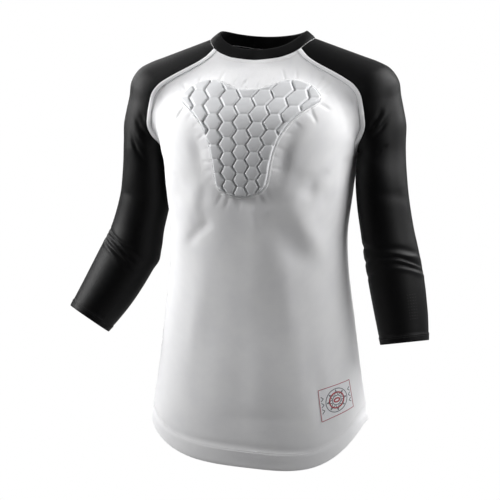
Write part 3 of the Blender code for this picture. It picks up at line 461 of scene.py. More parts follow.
class Figure:
    """General upper figure with the shirt's ease, as distance fields."""

    @staticmethod
    def section(x: Array, y: Array, width: Array, depth: Array, square: Array) -> Array:
        """Rough distance from an oval section, negative inside."""
        ratio = (np.abs(x / width) ** square + np.abs(y / depth) ** square) ** (1.0 / square)
        ratio = np.maximum(ratio, 1e-6)
        return (ratio - 1.0) * np.maximum(np.hypot(x, y) / ratio, 12.0)

    def torso(self, point: Array) -> Array:
        """Distance from the trunk."""
        row = column_curve(TORSO, point[..., 2])
        y = point[..., 1] - row[..., 3]
        depth = np.where(y < 0.0, row[..., 3] - row[..., 1], row[..., 2] - row[..., 3])
        return self.section(point[..., 0], y, row[..., 0], depth, row[..., 4])

    def arm(self, point: Array) -> Array:
        """Distance from the upper arm, both sides."""
        row = column_curve(ARM_TOP, point[..., 2])
        x = np.abs(point[..., 0]) - row[..., 0]
        sway = np.where(point[..., 0] > 0.0, ARM_SWAY[0], ARM_SWAY[1])
        y = point[..., 1] - row[..., 1] - sway * smooth_step((ARMPIT_Z - point[..., 2]) / 44.0)
        tube = self.section(x, y, row[..., 2], row[..., 3], 2.0)
        return np.where(point[..., 2] > YOKE_ARM[2], 1000.0, tube)

    @staticmethod
    def yoke(point: Array) -> Array:
        """Distance from the shoulder line, both sides."""
        near = np.stack([np.abs(point[..., 0]), point[..., 1], point[..., 2]], axis=-1)
        start = np.array(YOKE_NECK[:3])
        line = np.array(YOKE_ARM[:3]) - start
        t = np.clip(((near - start) @ line) / (line @ line), 0.0, 1.0)
        radius = YOKE_NECK[3] + (YOKE_ARM[3] - YOKE_NECK[3]) * t
        return np.linalg.norm(near - start - t[..., None] * line, axis=-1) - radius

    def whole(self, point: Array) -> Array:
        """Distance from the whole figure; the fillet at the arm dies out towards the underarm."""
        blend = 3.0 + 25.0 * smooth_step((point[..., 2] - ARMPIT_Z) / 70.0)
        first = self.torso(point)
        second = np.minimum(self.yoke(point), self.arm(point))
        share = np.maximum(blend - np.abs(first - second), 0.0) / blend
        return np.minimum(first, second) - share * share * blend * 0.25

    @staticmethod
    def slope(distance: Callable, point: Array) -> Array:
        """Slope of a distance field, by small steps."""
        steps = 0.4 * np.eye(3)
        return np.stack([(distance(point + step) - distance(point - step)) / 0.8 for step in steps], axis=-1)

    def settle(self, point: Array, turns: int = 16) -> Array:
        """Points moved square onto the figure."""
        point = np.array(point, dtype=float)
        for _ in range(turns):
            slope = self.slope(self.whole, point)
            size = np.maximum((slope * slope).sum(axis=-1), 0.05)
            move = self.whole(point)[..., None] * slope / size[..., None]
            length = np.maximum(np.linalg.norm(move, axis=-1, keepdims=True), 1e-9)
            point -= move * np.minimum(1.0, 12.0 / length)
        return point

    def relax(self, grid: Array, turns: int = 40) -> Array:
        """Even out the inside of a patch that stays on the figure."""
        for _ in range(turns):
            around = 0.25 * (grid[:-2, 1:-1] + grid[2:, 1:-1] + grid[1:-1, :-2] + grid[1:-1, 2:])
            grid[1:-1, 1:-1] = self.settle(0.4 * grid[1:-1, 1:-1] + 0.6 * around, 2)
        grid[1:-1, 1:-1] = self.settle(grid[1:-1, 1:-1], 6)
        return grid


class CutLines:
    """Lines where the pieces meet: raglan seams and the parts of the neckline."""

    def __init__(self, figure: Figure) -> None:
        """Lay the lines on the figure."""
        self.figure = figure
        self.seam = {}
        for side, table in ((-1, SEAM_FRONT), (1, SEAM_BACK)):
            seam = resample(figure.settle(table), YOKE_ROWS + 1)
            seam[1:] = figure.settle(seam[1:])
            seam[0] = UNDERARM
            self.seam[side] = seam
        ring = self.ring()
        front, back = ring[:4], ring[7:10]
        top = np.vstack([mirror(front[::-1, :3])[:-1], front[:, :3]])
        rear = np.vstack([mirror(back[:, :3]), back[::-1, :3][1:]])
        self.neck = {
            -1: figure.settle(resample(top, FRONT_COLUMNS + 1)),
            1: figure.settle(resample(rear, BACK_COLUMNS + 1)),
            0: figure.settle(resample(ring[3:8, :3], SLEEVE_COLUMNS + 1)),
        }
        for side, end in ((-1, 0), (1, -1)):
            self.seam[side][-1] = self.neck[0][end]
            self.neck[side][0] = mirror(self.seam[side][-1])
            self.neck[side][-1] = self.seam[side][-1]

    @staticmethod
    def ring() -> Array:
        """Whole neckline and collar top, from the front centre round the left side."""
        half = np.array(NECK)
        other = half[1:-1][::-1] * np.array([-1.0, 1.0, 1.0, -1.0, 1.0, 1.0])
        return np.vstack([half, other])


def ease_edges(outer: Array, normal: Array, start: int) -> Array:
    """Sewn edges drawn back by half the seam gap, square to the seam within the cloth."""
    out = outer.copy()

    def draw(edge: Array, beside: Array, face: Array) -> Array:
        """Move of one edge towards its own cloth."""
        square = unit(np.cross(face, np.gradient(edge, axis=0)))
        side = np.sign(((beside - edge) * square).sum(axis=-1, keepdims=True))
        return square * side * 0.5 * SEAM_GAP

    out[start:, 0] += draw(outer[start:, 0], outer[start:, 1], normal[start:, 0])
    out[start:, -1] += draw(outer[start:, -1], outer[start:, -2], normal[start:, -1])
    out[-1] += draw(outer[-1], outer[-2], normal[-1])
    return out


@dataclass(frozen=True)
class Crease:
    """Soft uneven trough or ridge in cloth, along a line of points."""

    points: tuple
    width: float
    depth: float
    side: int = -1

    def move(self, plan: Array, face_y: Array, phase: float) -> Array:
        """Outward move of the points of a cloth grid.

        Args:
            plan: The points' x and z.
            face_y: Y of the cloth's outward normals.
            phase: Start of the slow unevenness along the line.

        Returns:
            Millimetres outward; troughs are negative.
        """
        gap, along = line_distance(plan, self.points)
        fade = np.sin(math.pi * np.clip(along, 0.02, 0.98)) ** 0.6
        uneven = 1.0 + 0.22 * np.sin(9.0 * along + phase)
        facing = smooth_step((face_y * self.side - 0.05) / 0.4)
        return self.depth * uneven * fade * facing * np.exp(-(gap / self.width) ** 2)

    @staticmethod
    def table(rows: Sequence) -> tuple:
        """Creases from the rows of a table."""
        return tuple(Crease(*row) for row in rows)


@dataclass(frozen=True)
class RingCrease:
    """Trough or ridge round a sleeve: place down the sleeve, angle, slant, reach, width and depth."""

    place: float
    middle: float
    slant: float
    reach: float
    width: float
    depth: float
    bend: float = 0.0

    def move(self, arc: Array, degree: Array) -> Array:
        """Outward move; arc runs down from the underarm, degree is 0 outside and 90 in front."""
        off = (degree - self.middle + 180.0) % 360.0 - 180.0
        wander = 1.6 * np.sin(off * 0.07 + self.place)
        gap = arc - self.place - self.slant * off - self.bend * (off / self.reach) ** 2 - wander
        return self.depth * np.exp(-(gap / self.width) ** 2 - np.abs(off / self.reach) ** 3)


def write_mesh(name: str, vertices: Array, faces: Array, uv: Optional[Array] = None,
               sharp: float = 50.0) -> bpy.types.Object:
    """A mesh object at the origin, written in metres.

    Args:
        name: Name of the piece.
        vertices: Points in millimetres.
        faces: Rows of vertex numbers.
        uv: For each face corner, its place on the cloth in millimetres.
        sharp: Angle in degrees past which an edge is drawn sharp.

    Returns:
        The new object.
    """
    mesh = bpy.data.meshes.new(name)
    mesh.from_pydata((np.asarray(vertices) * MM).tolist(), [], [list(map(int, f)) for f in faces])
    if uv is not None:
        layer = mesh.uv_layers.new(name="cloth_mm")
        layer.data.foreach_set("uv", np.asarray(uv, dtype=np.float32).reshape(-1))
    mesh.polygons.foreach_set("use_smooth", np.ones(len(mesh.polygons), dtype=bool))
    mesh.set_sharp_from_angle(angle=math.radians(sharp))
    item = bpy.data.objects.new(name, mesh)
    bpy.context.scene.collection.objects.link(item)
    return item


def wall(outer: Array, inner: Array, plan: Array, closed_rows: int = 0) -> tuple[Array, Array, Array]:
    """Closed cloth wall from outer and inner grids.

    Args:
        outer: Grid of the outer face.
        inner: Grid of the inner face.
        plan: Place of each grid point on the cloth.
        closed_rows: How many of the first rows run all the way round.

    Returns:
        Vertices, faces and the faces' places on the cloth.
    """
    rows, columns = outer.shape[:2]
    number = np.arange(2 * rows * columns).reshape(2, rows, columns)
    number[:, :closed_rows, -1] = number[:, :closed_rows, 0]
    flat = np.concatenate([plan, plan]).reshape(-1, 2)
    place = np.arange(2 * rows * columns).reshape(2, rows, columns)

    def quads(grid: Array) -> list[Array]:
        """Face corners of both layers and the rims for one table of numbers."""
        o, i = grid
        first = max(closed_rows - 1, 0)
        blocks = [
            np.stack([o[:-1, :-1], o[:-1, 1:], o[1:, 1:], o[1:, :-1]], axis=-1),
            np.stack([i[1:, :-1], i[1:, 1:], i[:-1, 1:], i[:-1, :-1]], axis=-1),
            np.stack([o[0, 1:], o[0, :-1], i[0, :-1], i[0, 1:]], axis=-1),
            np.stack([o[-1, :-1], o[-1, 1:], i[-1, 1:], i[-1, :-1]], axis=-1),
            np.stack([o[first:-1, 0], o[first + 1:, 0], i[first + 1:, 0], i[first:-1, 0]], axis=-1),
            np.stack([o[first + 1:, -1], o[first:-1, -1], i[first:-1, -1], i[first + 1:, -1]], axis=-1),
        ]
        return [block.reshape(-1, 4) for block in blocks]

    faces = np.concatenate(quads(number))
    corners = np.concatenate(quads(place))
    used, faces = np.unique(faces, return_inverse=True)
    vertices = np.concatenate([outer.reshape(-1, 3), inner.reshape(-1, 3)])[used]
    return vertices, faces.reshape(-1, 4), flat[corners]


def ribbon(points: Array, normals: Array, width: float, height: float) -> tuple[Array, Array]:
    """Narrow strip with a rounded back along a line on cloth.

    Args:
        points: The line.
        normals: The cloth's outward normals along it.
        width: Width of the strip.
        height: Height of its middle above the cloth.

    Returns:
        Vertices and faces.
    """
    side = unit(np.cross(np.gradient(points, axis=0), normals))
    spots = np.array([-1.0, -0.9, -0.5, 0.0, 0.5, 0.9, 1.0])
    lift = height * np.array([0.15, 0.55, 0.92, 1.0, 0.92, 0.55, 0.15])
    across = points[:, None] + side[:, None] * (0.5 * width * spots)[None, :, None]
    outer = across + normals[:, None] * lift[None, :, None]
    vertices, faces, _ = wall(outer, across + normals[:, None] * 0.03, cloth_map(outer))
    return vertices, faces


def joined(parts: Sequence[tuple[Array, Array]]) -> tuple[Array, Array]:
    """Several meshes' vertices and faces as one."""
    vertices, faces, start = [], [], 0
    for points, quads in parts:
        vertices.append(points)
        faces.append(quads + start)
        start += len(points)
    return np.vstack(vertices), np.vstack(faces)


class Slot(Enum):
    """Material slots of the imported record."""

    WHITE = "white_knit"
    BLACK = "black_knit"
    PAD = "pad_grey"


def linear(code: str) -> tuple[float, float, float, float]:
    """Linear colour of an sRGB hex value."""
    value = [int(code[k:k + 2], 16) / 255.0 for k in (1, 3, 5)]
    red, green, blue = [v / 12.92 if v <= 0.04045 else ((v + 0.055) / 1.055) ** 2.4 for v in value]
    return red, green, blue, 1.0


def wire(tree: bpy.types.NodeTree, node: bpy.types.Node, values: Optional[dict] = None,
         links: Optional[dict] = None) -> bpy.types.Node:
    """Give a node its input values and links, by socket name or number."""
    for key, value in (values or {}).items():
        node.inputs[key].default_value = value
    for key, socket in (links or {}).items():
        tree.links.new(socket, node.inputs[key])
    return node


def add_node(tree: bpy.types.NodeTree, kind: str, values: Optional[dict] = None,
             links: Optional[dict] = None, **settings) -> bpy.types.Node:
    """A node with its settings, input values and links.

    Args:
        tree: Tree that gets the node.
        kind: Blender's name of the node type.
        values: Input values by socket name or number.
        links: Output sockets by input name or number.
        **settings: Attributes of the node.

    Returns:
        The new node.
    """
    node = tree.nodes.new(kind)
    for key, value in settings.items():
        setattr(node, key, value)
    return wire(tree, node, values, links)


def new_material(name: str) -> tuple[bpy.types.Material, bpy.types.Node]:
    """A material and its Principled shader."""
    material = bpy.data.materials.new(name)
    material.use_nodes = True
    return material, material.node_tree.nodes["Principled BSDF"]


@dataclass(frozen=True)
class Finish:
    """Surface of one stuff: its name, record slot and colour."""

    name: str
    slot: Slot
    colour: str


@dataclass(frozen=True)
class KnitFinish(Finish):
    """Polyester and elastane compression knit: smooth matt face, fine upright ribs, slight sheen."""

    shade: str
    roughness: float
    sheen: float
    shine: float
    rib: float = 1.5
    course: float = 1.2
    bump: float = 0.25

    @cached_property
    def material(self) -> bpy.types.Material:
        """Ribs and courses in the bump, and slow uneven tone as worn and washed cloth has."""
        material, shader = new_material(self.name)
        tree = material.node_tree
        place = {"Vector": add_node(tree, "ShaderNodeUVMap", uv_map="cloth_mm").outputs["UV"]}
        # A wave texture of scale 0.314 repeats once a millimetre
        rib, course = [
            add_node(tree, "ShaderNodeTexWave",
                     {"Scale": 0.314 / spacing, "Distortion": waver, "Detail": 1.0, "Detail Scale": 0.4},
                     place, bands_direction=way)
            for spacing, waver, way in ((self.rib, 0.6, "X"), (self.course, 0.8, "Y"))
        ]
        knit = add_node(tree, "ShaderNodeMath", None, {0: rib.outputs["Fac"], 1: course.outputs["Fac"]},
                        operation="MULTIPLY")
        grain = add_node(tree, "ShaderNodeTexNoise", {"Scale": 0.35, "Detail": 3.0}, place)
        both = add_node(tree, "ShaderNodeMath", None, {0: knit.outputs[0], 1: grain.outputs["Fac"]},
                        operation="ADD")
        bump = add_node(tree, "ShaderNodeBump", {"Strength": self.bump, "Distance": 0.0004},
                        {"Height": both.outputs[0]})
        slow = add_node(tree, "ShaderNodeTexNoise", {"Scale": 0.022, "Detail": 3.0, "Roughness": 0.6}, place)
        tone = add_node(tree, "ShaderNodeValToRGB", None, {"Fac": slow.outputs["Fac"]})
        for stop, (spot, code) in zip(tone.color_ramp.elements, ((0.32, self.shade), (0.62, self.colour))):
            stop.position, stop.color = spot, linear(code)
        rough = add_node(tree, "ShaderNodeMapRange", {"To Min": self.roughness - 0.05,
                                                      "To Max": self.roughness + 0.06},
                         {"Value": grain.outputs["Fac"]})
        wire(tree, shader, {"IOR": 1.48, "Specular IOR Level": self.shine, "Sheen Weight": self.sheen,
                            "Sheen Roughness": 0.4},
             {"Base Color": tone.outputs["Color"], "Roughness": rough.outputs["Result"],
              "Normal": bump.outputs["Normal"]})
        return material


@dataclass(frozen=True)
class FilmFinish(Finish):
    """Urethane film moulded over closed-cell foam: even satin face with a faint pebble."""

    shade: str
    roughness: float

    @cached_property
    def material(self) -> bpy.types.Material:
        """Fine pebble in the bump and a little wear in the tone."""
        material, shader = new_material(self.name)
        tree = material.node_tree
        place = {"Vector": add_node(tree, "ShaderNodeTexCoord").outputs["Object"]}
        pebble = add_node(tree, "ShaderNodeTexNoise", {"Scale": 700.0, "Detail": 2.0}, place)
        slow = add_node(tree, "ShaderNodeTexNoise", {"Scale": 28.0, "Detail": 4.0}, place)
        tone = add_node(tree, "ShaderNodeValToRGB", None, {"Fac": slow.outputs["Fac"]})
        for stop, (spot, code) in zip(tone.color_ramp.elements, ((0.3, self.shade), (0.65, self.colour))):
            stop.position, stop.color = spot, linear(code)
        rough = add_node(tree, "ShaderNodeMapRange", {"To Min": self.roughness - 0.06,
                                                      "To Max": self.roughness + 0.08},
                         {"Value": slow.outputs["Fac"]})
        bump = add_node(tree, "ShaderNodeBump", {"Strength": 0.15, "Distance": 0.0003},
                        {"Height": pebble.outputs["Fac"]})
        wire(tree, shader, {"IOR": 1.5},
             {"Base Color": tone.outputs["Color"], "Roughness": rough.outputs["Result"],
              "Normal": bump.outputs["Normal"]})
        return material


@dataclass(frozen=True)
class ThreadFinish(Finish):
    """Spun polyester thread: dull, with the twist as a fine streak."""

    roughness: float = 0.7

    @cached_property
    def material(self) -> bpy.types.Material:
        """Twist streaks in tone and bump."""
        material, shader = new_material(self.name)
        tree = material.node_tree
        place = {"Vector": add_node(tree, "ShaderNodeTexCoord").outputs["Object"]}
        twist = add_node(tree, "ShaderNodeTexNoise", {"Scale": 900.0, "Detail": 1.0}, place).outputs["Fac"]
        lift = add_node(tree, "ShaderNodeMapRange", {"To Min": 0.85, "To Max": 1.12}, {"Value": twist})
        tone = add_node(tree, "ShaderNodeHueSaturation", {"Color": linear(self.colour)},
                        {"Value": lift.outputs["Result"]})
        bump = add_node(tree, "ShaderNodeBump", {"Strength": 0.2, "Distance": 0.0002}, {"Height": twist})
        wire(tree, shader, {"Roughness": self.roughness},
             {"Base Color": tone.outputs["Color"], "Normal": bump.outputs["Normal"]})
        return material


def dress(item: bpy.types.Object, finish: Finish, *nodes: str) -> bpy.types.Object:
    """Give a piece its material and body, and hide the CAD nodes it stands for."""
    if not item.data.materials:
        item.data.materials.append(finish.material)
    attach(item, "root")
    if nodes:
        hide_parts(*nodes)
    LOG.info("%s: %d faces", item.name, len(item.data.polygons))
    return item


@dataclass(kw_only=True)
class ClothPiece:
    """Cloth wall on a fine grid: its outer face, the normals there and the places on the cloth."""

    lines: CutLines
    fine: int = 6
    cloth: float = 1.25
    creases: tuple = ()
    closed_rows: int = 0

    def shape(self) -> None:
        """Work out outer, normal and plan."""
        raise NotImplementedError

    def build(self, name: str) -> bpy.types.Object:
        """Mesh of the piece as a closed wall."""
        self.shape()
        inner = self.outer - self.normal * self.cloth
        return write_mesh(name, *wall(self.outer, inner, self.plan, self.closed_rows))


@dataclass(kw_only=True)
class BodyPanel(ClothPiece):
    """Front or back of the body with its hem."""

    side: int
    columns: int

    def hem_height(self, share: Array) -> Array:
        """Height of the curved hem; share is x over the half width."""
        power, edge = (3.4, 0.9) if self.side < 0 else (2.4, 1.3)
        drop = np.maximum(1.0 - np.abs(share) ** power, 0.0) ** edge
        return HEM_SIDE_Z - HEM_DROP * drop - HEM_TILT * share * drop

    def lower(self) -> Array:
        """Grid below the underarm, rows from the hem up."""
        angle = 0.5 * math.pi * np.linspace(-1.0, 1.0, self.columns + 1)
        round_off = np.abs(np.cos(angle))
        hem = self.hem_height(np.sin(angle))
        rows = []
        for k in range(BODY_ROWS + 1):
            turned = HEM_TURN * (0.35 + 0.65 * round_off)
            if k <= 2:
                z = hem + turned * (0.0, 0.55, 1.0)[k]
            else:
                top = ARMPIT_Z - CHEST_DIP * round_off ** 0.8
                z = hem + turned + (top - hem - turned) * (k - 2) / (BODY_ROWS - 2)
            row = column_curve(TORSO, z)
            power = 2.0 / row[..., 4]
            depth = row[..., 3] - row[..., 1] if self.side < 0 else row[..., 2] - row[..., 3]
            x = row[..., 0] * np.sign(np.sin(angle)) * np.abs(np.sin(angle)) ** power
            rows.append(np.stack([x, row[..., 3] + self.side * depth * round_off ** power, z], axis=-1))
        return np.array(rows)

    def folds(self, point: Array) -> Array:
        """Outward move of the long soft folds."""
        move = np.zeros(point.shape[:-1])
        for x, z, tilt, length, width, depth, face in BODY_FOLDS:
            if face == self.side:
                turn = math.radians(tilt)
                dx, dz = point[..., 0] - x, point[..., 2] - z
                along = dx * math.cos(turn) + dz * math.sin(turn)
                across = -dx * math.sin(turn) + dz * math.cos(turn)
                move += depth * np.exp(-(along / (0.5 * length)) ** 2 - (across / (0.5 * width)) ** 2)
        return move

    def shape(self) -> None:
        """Work out the outer grid, its normals and its places on the cloth."""
        figure = self.lines.figure
        lower = self.lower()
        for k, share in enumerate((1.0, 0.55, 0.25, 0.1)):
            shift = (np.array(UNDERARM) - lower[-1 - k][-1]) * share
            fade = np.clip(1.0 - np.arange(self.columns + 1)[::-1] / 4.0, 0.0, 1.0)[:, None]
            lower[-1 - k] += shift * fade + mirror(shift) * fade[::-1]
        seam = self.lines.seam[self.side]
        upper = coons(lower[-1], self.lines.neck[self.side], mirror(seam), seam)
        upper[1:-1, 1:-1] = figure.settle(upper[1:-1, 1:-1])
        upper = figure.relax(upper)
        low_face = unit(figure.slope(figure.torso, lower))
        high_face = unit(figure.slope(figure.whole, upper))
        outer = np.vstack([lower, upper[1:]])
        face = np.vstack([low_face, high_face[1:]])
        calm = np.ones(outer.shape[:2])
        calm[:, [0, -1]] = 0.0
        calm[:, [1, -2]] = 0.5
        calm[:3] *= np.array([0.0, 0.3, 0.6])[:, None]
        outer = ease_edges(outer + face * (self.folds(outer) * calm)[..., None], face, 0)
        rows = np.broadcast_to(np.arange(len(outer))[:, None, None], (*outer.shape[:2], 1))
        grid = np.concatenate([outer, rows], axis=-1)
        if self.side > 0:
            grid = grid[:, ::-1]
        grid = refine(grid, self.fine, corner=BODY_ROWS)
        grid = refine(grid.transpose(1, 0, 2), self.fine).transpose(1, 0, 2)
        point, row = grid[..., :3], grid[..., 3]
        normal = grid_normals(point)
        self.plan = cloth_map(point)
        columns = np.arange(point.shape[1])
        edge = smooth_step(np.minimum(columns, columns[::-1]) / (1.3 * self.fine))[None, :]
        move = np.zeros(point.shape[:2])
        for k, crease in enumerate(self.creases):
            move += crease.move(point[..., [0, 2]], normal[..., 1], 1.7 * k)
        move *= edge * smooth_step((row - 0.4) / 1.2) * smooth_step((len(outer) - 1.2 - row) / 1.0)
        # The turned hem is fuller than the cloth above, rounds in at its fold and has a groove at its stitches
        move += 1.1 * (1.0 - smooth_step((row - 2.05) / 0.3)) - 0.5 * smooth_step((0.25 - row) / 0.25)
        move -= 0.7 * np.exp(-((row - 2.4) / 0.18) ** 2)
        self.outer = point + normal * move[..., None]
        self.normal = grid_normals(self.outer)

    @cached_property
    def tree(self) -> bvhtree.BVHTree:
        """Search tree of the finished outer face."""
        rows, columns = self.outer.shape[:2]
        number = np.arange(rows * columns).reshape(rows, columns)
        quads = np.stack([number[:-1, :-1], number[:-1, 1:], number[1:, 1:], number[1:, :-1]], axis=-1)
        return bvhtree.BVHTree.FromPolygons(self.outer.reshape(-1, 3).tolist(), quads.reshape(-1, 4).tolist())

    def edge_strip(self, right: bool, distances: Sequence[float]) -> tuple[Array, Array]:
        """Points beside a raglan seam, on the panel.

        Args:
            right: Whether the strip runs beside the last column.
            distances: Millimetres from the seam.

        Returns:
            Points and normals, one row for each grid row above the underarm.
        """
        order = slice(None, -31, -1) if right else slice(0, 30)
        start = BODY_ROWS * self.fine
        point, normal = [grid[start:, order].transpose(1, 0, 2) for grid in (self.outer, self.normal)]
        strip = along_lines(run_length(point), point, normal, distances)
        return strip[0].transpose(1, 0, 2), strip[1].transpose(1, 0, 2)

    def row_line(self, height: float, top: bool = False) -> tuple[Array, Array]:
        """Line across the panel at a height above the hem, or below the neckline."""
        order = slice(None, -41, -1) if top else slice(0, 40)
        point, normal = self.outer[order], self.normal[order]
        point, normal = along_lines(run_length(point), point, normal, (height,))
        return point[0], normal[0]


@dataclass(kw_only=True)
class Sleeve(ClothPiece):
    """Raglan sleeve from the neckline to its open cuff."""

    sign: int
    rows: tuple
    top_creases: tuple = ()

    def axis_line(self) -> tuple[Array, Array]:
        """Fine centre line: arc length, then centre, half sizes and tangent."""
        line = resample(self.rows, 160)
        tangent = unit(np.gradient(line[:, :3], axis=0))
        for _ in range(60):
            tangent[1:-1] = unit(tangent[:-2] + 2 * tangent[1:-1] + tangent[2:])
        return run_length(line), np.hstack([line, tangent])

    def rings(self, turn: Array) -> tuple[Array, Array, Array]:
        """Rings below the underarm, from the underarm down: points, normals and arc lengths."""
        arc, line = self.axis_line()
        outside = 0.5 + 0.5 * np.cos(turn)
        rings, normals, arcs = [], [], []
        for k in range(SLEEVE_ROWS + 1):
            base = arc[-1] * k / SLEEVE_ROWS
            at_arc = base + RING_DIP * outside * max(0.0, 1.0 - base / RING_REACH) ** 2
            at = np.stack([np.interp(at_arc, arc, line[:, c]) for c in range(line.shape[1])], axis=-1)
            axis = unit(at[:, 5:8])
            first = np.array([float(self.sign), 0.0, 0.0]) * np.ones((len(turn), 1))
            first = unit(first - axis * (first * axis).sum(axis=-1, keepdims=True))
            second = unit(np.cross(axis, first))
            second *= np.where(second[:, 1:2] > 0, -1.0, 1.0)
            cosine = first * np.cos(turn)[:, None]
            sine = second * np.sin(turn)[:, None]
            rings.append(at[:, :3] + cosine * at[:, 3:4] + sine * at[:, 4:5])
            normals.append(unit(cosine / at[:, 3:4] + sine / at[:, 4:5]))
            arcs.append(at_arc)
        under = np.array(UNDERARM) * np.array([float(self.sign), 1.0, 1.0])
        offset = under - rings[0][0]
        for k, share in enumerate((1.0, 0.6, 0.25)):
            fade = np.clip(1.0 - np.abs(np.abs(turn) - math.pi) / 0.9, 0.0, 1.0)[:, None] ** 2
            rings[k] = rings[k] + offset * share * fade
        return np.array(rings), np.array(normals), np.array(arcs)

    def yoke(self, ring: Array, neck: Array, front: Array, back: Array) -> Array:
        """Rows of the raglan part, arcs from the front seam over the shoulder to the back seam."""
        figure, own_side = self.lines.figure, np.array([self.sign, 1.0, 1.0])
        out = coons(ring, neck, front, back)
        middle = SLEEVE_COLUMNS // 2
        crest = np.vstack([ring[middle], YOKE_CREST * own_side, neck[middle]])
        crest = figure.settle(resample(crest, len(front)))
        hubs = resample(YOKE_HUBS * own_side, len(front))
        share = np.linspace(0.0, 1.0, middle + 1)
        for k in range(1, len(front) - 1):
            to_crest = unit(crest[k] - hubs[k])
            halves = []
            for end in (front[k], back[k]):
                to_end = unit(end - hubs[k])
                spread = math.acos(max(-1.0, min(1.0, float(to_crest @ to_end))))
                lower = max(math.sin(spread), 0.05)
                aim = (to_end[None] * (np.sin((1 - share) * spread) / lower)[:, None]
                       + to_crest[None] * (np.sin(share * spread) / lower)[:, None])
                reach_end = np.linalg.norm(end - hubs[k])
                reach = reach_end + (np.linalg.norm(crest[k] - hubs[k]) - reach_end) * share
                halves.append(hubs[k] + unit(aim) * reach[:, None])
            out[k] = np.vstack([halves[0], halves[1][::-1][1:]])
        out[1:-1, 1:-1] = figure.settle(out[1:-1, 1:-1])
        return figure.relax(out, 3)

    def blend_rows(self, point: Array, middle: int) -> Array:
        """Even out the rows where the sleeve's rings meet its raglan top, away from the underarm."""
        rows = np.arange(len(point))[:, None]
        columns = np.arange(point.shape[1])
        share = smooth_step((2.6 * self.fine - np.abs(rows - middle)) / (1.6 * self.fine))
        share = share * smooth_step((np.minimum(columns, columns[::-1]) - 1.0 * self.fine) / (2.0 * self.fine))
        for _ in range(60):
            around = 0.5 * (point[:-2] + point[2:]) - point[1:-1]
            point[1:-1] += 0.8 * share[1:-1, :, None] * around
        return point

    def shape(self) -> None:
        """Work out the outer grid, its normals and its places on the cloth."""
        figure = self.lines.figure
        turn = np.linspace(math.pi, -math.pi, SLEEVE_COLUMNS + 1)
        rings, normals, arcs = self.rings(turn)
        borders = [self.lines.neck[0], self.lines.seam[-1], self.lines.seam[1]]
        if self.sign < 0:
            borders = [mirror(line) for line in borders]
        upper = self.yoke(rings[0], *borders)
        outer = np.vstack([rings[::-1], upper[1:]])
        face = np.vstack([normals[::-1], unit(figure.slope(figure.whole, upper[1:]))])
        above = -18.0 * np.arange(1, len(upper))[:, None] * np.ones((1, SLEEVE_COLUMNS + 1))
        arc = np.vstack([arcs[::-1], above])[..., None]
        degree = np.broadcast_to(np.degrees(turn)[None, :, None], (*outer.shape[:2], 1))
        outer = ease_edges(outer, face, SLEEVE_ROWS + 1)
        for k, share in ((0, 1.0), (1, 0.7), (2, 0.4)):
            near = np.clip(1.0 - np.abs(np.abs(turn) - math.pi) / 0.8, 0.0, 1.0)[:, None]
            outer[SLEEVE_ROWS - k] += np.array([self.sign * 0.8 * share, 0.0, 0.0]) * near
        grid = np.concatenate([outer, arc, degree], axis=-1)
        if self.sign < 0:
            grid = grid[:, ::-1]
        rows = np.arange(len(grid))
        grid = refine(grid.transpose(1, 0, 2), self.fine, wrap=rows <= SLEEVE_ROWS).transpose(1, 0, 2)
        count = np.linspace(180.0, -180.0, grid.shape[1]) * (1.0 if self.sign > 0 else -1.0)
        grid[..., 4] = count[None]
        grid = refine(grid, self.fine, corner=SLEEVE_ROWS)
        point, arc, degree = grid[..., :3], grid[..., 3], grid[..., 4]
        self.arc, self.degree = arc, degree
        closed = self.closed_rows = SLEEVE_ROWS * self.fine + 1
        point = self.blend_rows(point, closed - 1)
        normal = grid_normals(point, closed)
        self.plan = cloth_map(point)
        move = np.zeros(point.shape[:2])
        for crease in self.creases:
            move += crease.move(arc, degree)
        row = np.arange(len(point))[:, None]
        move *= smooth_step((closed - 0.4 * self.fine - row) / (2.4 * self.fine))
        for k, crease in enumerate(self.top_creases):
            move += crease.move(point[..., [0, 2]], normal[..., 1], 2.1 * k)
        column = np.arange(point.shape[1])
        edge = smooth_step(np.minimum(column, column[::-1]) / (1.2 * self.fine))[None, :]
        below = smooth_step((closed + 2.0 * self.fine - row) / (2.0 * self.fine))
        move *= np.maximum(edge, below * smooth_step((closed - row) / 4.0))
        height = self.plan[..., 1]
        move *= smooth_step((height - 14.0) / 16.0) * smooth_step((len(point) - 4 - row) / 6.0)
        # The cuff is turned and sewn in the same way
        move += 0.6 * (1.0 - smooth_step((height - 12.0) / 1.6)) - 0.4 * smooth_step((1.6 - height) / 1.6)
        move -= 0.35 * np.exp(-((height - 13.6) / 1.1) ** 2)
        self.outer = point + normal * move[..., None]
        self.normal = grid_normals(self.outer, closed)

    def dot_rows(self, arc: tuple, degree: tuple, step: float) -> list[Array]:
        """Short level lines over a small field of the forearm.

        Args:
            arc: First and last place down the sleeve.
            degree: First and last angle round it.
            step: Distance between the lines.

        Returns:
            The lines, just above the cloth.
        """
        forearm = np.flatnonzero(self.arc[:, self.arc.shape[1] // 2] > 120.0)[::-1]
        spots = np.flatnonzero((self.degree[0] >= degree[0]) & (self.degree[0] <= degree[1]))
        own = np.ix_(forearm, spots)
        skin = self.outer + self.normal * 0.12
        return list(along_lines(self.arc[own], skin[own], self.normal[own], np.arange(*arc, step))[0])

    def ring_line(self, height: float) -> tuple[Array, Array]:
        """Closed line round the sleeve at a height above the cuff's edge."""
        point, normal = along_lines(self.plan[:40, :, 1], self.outer[:40], self.normal[:40], (height,))
        return point[0], normal[0]


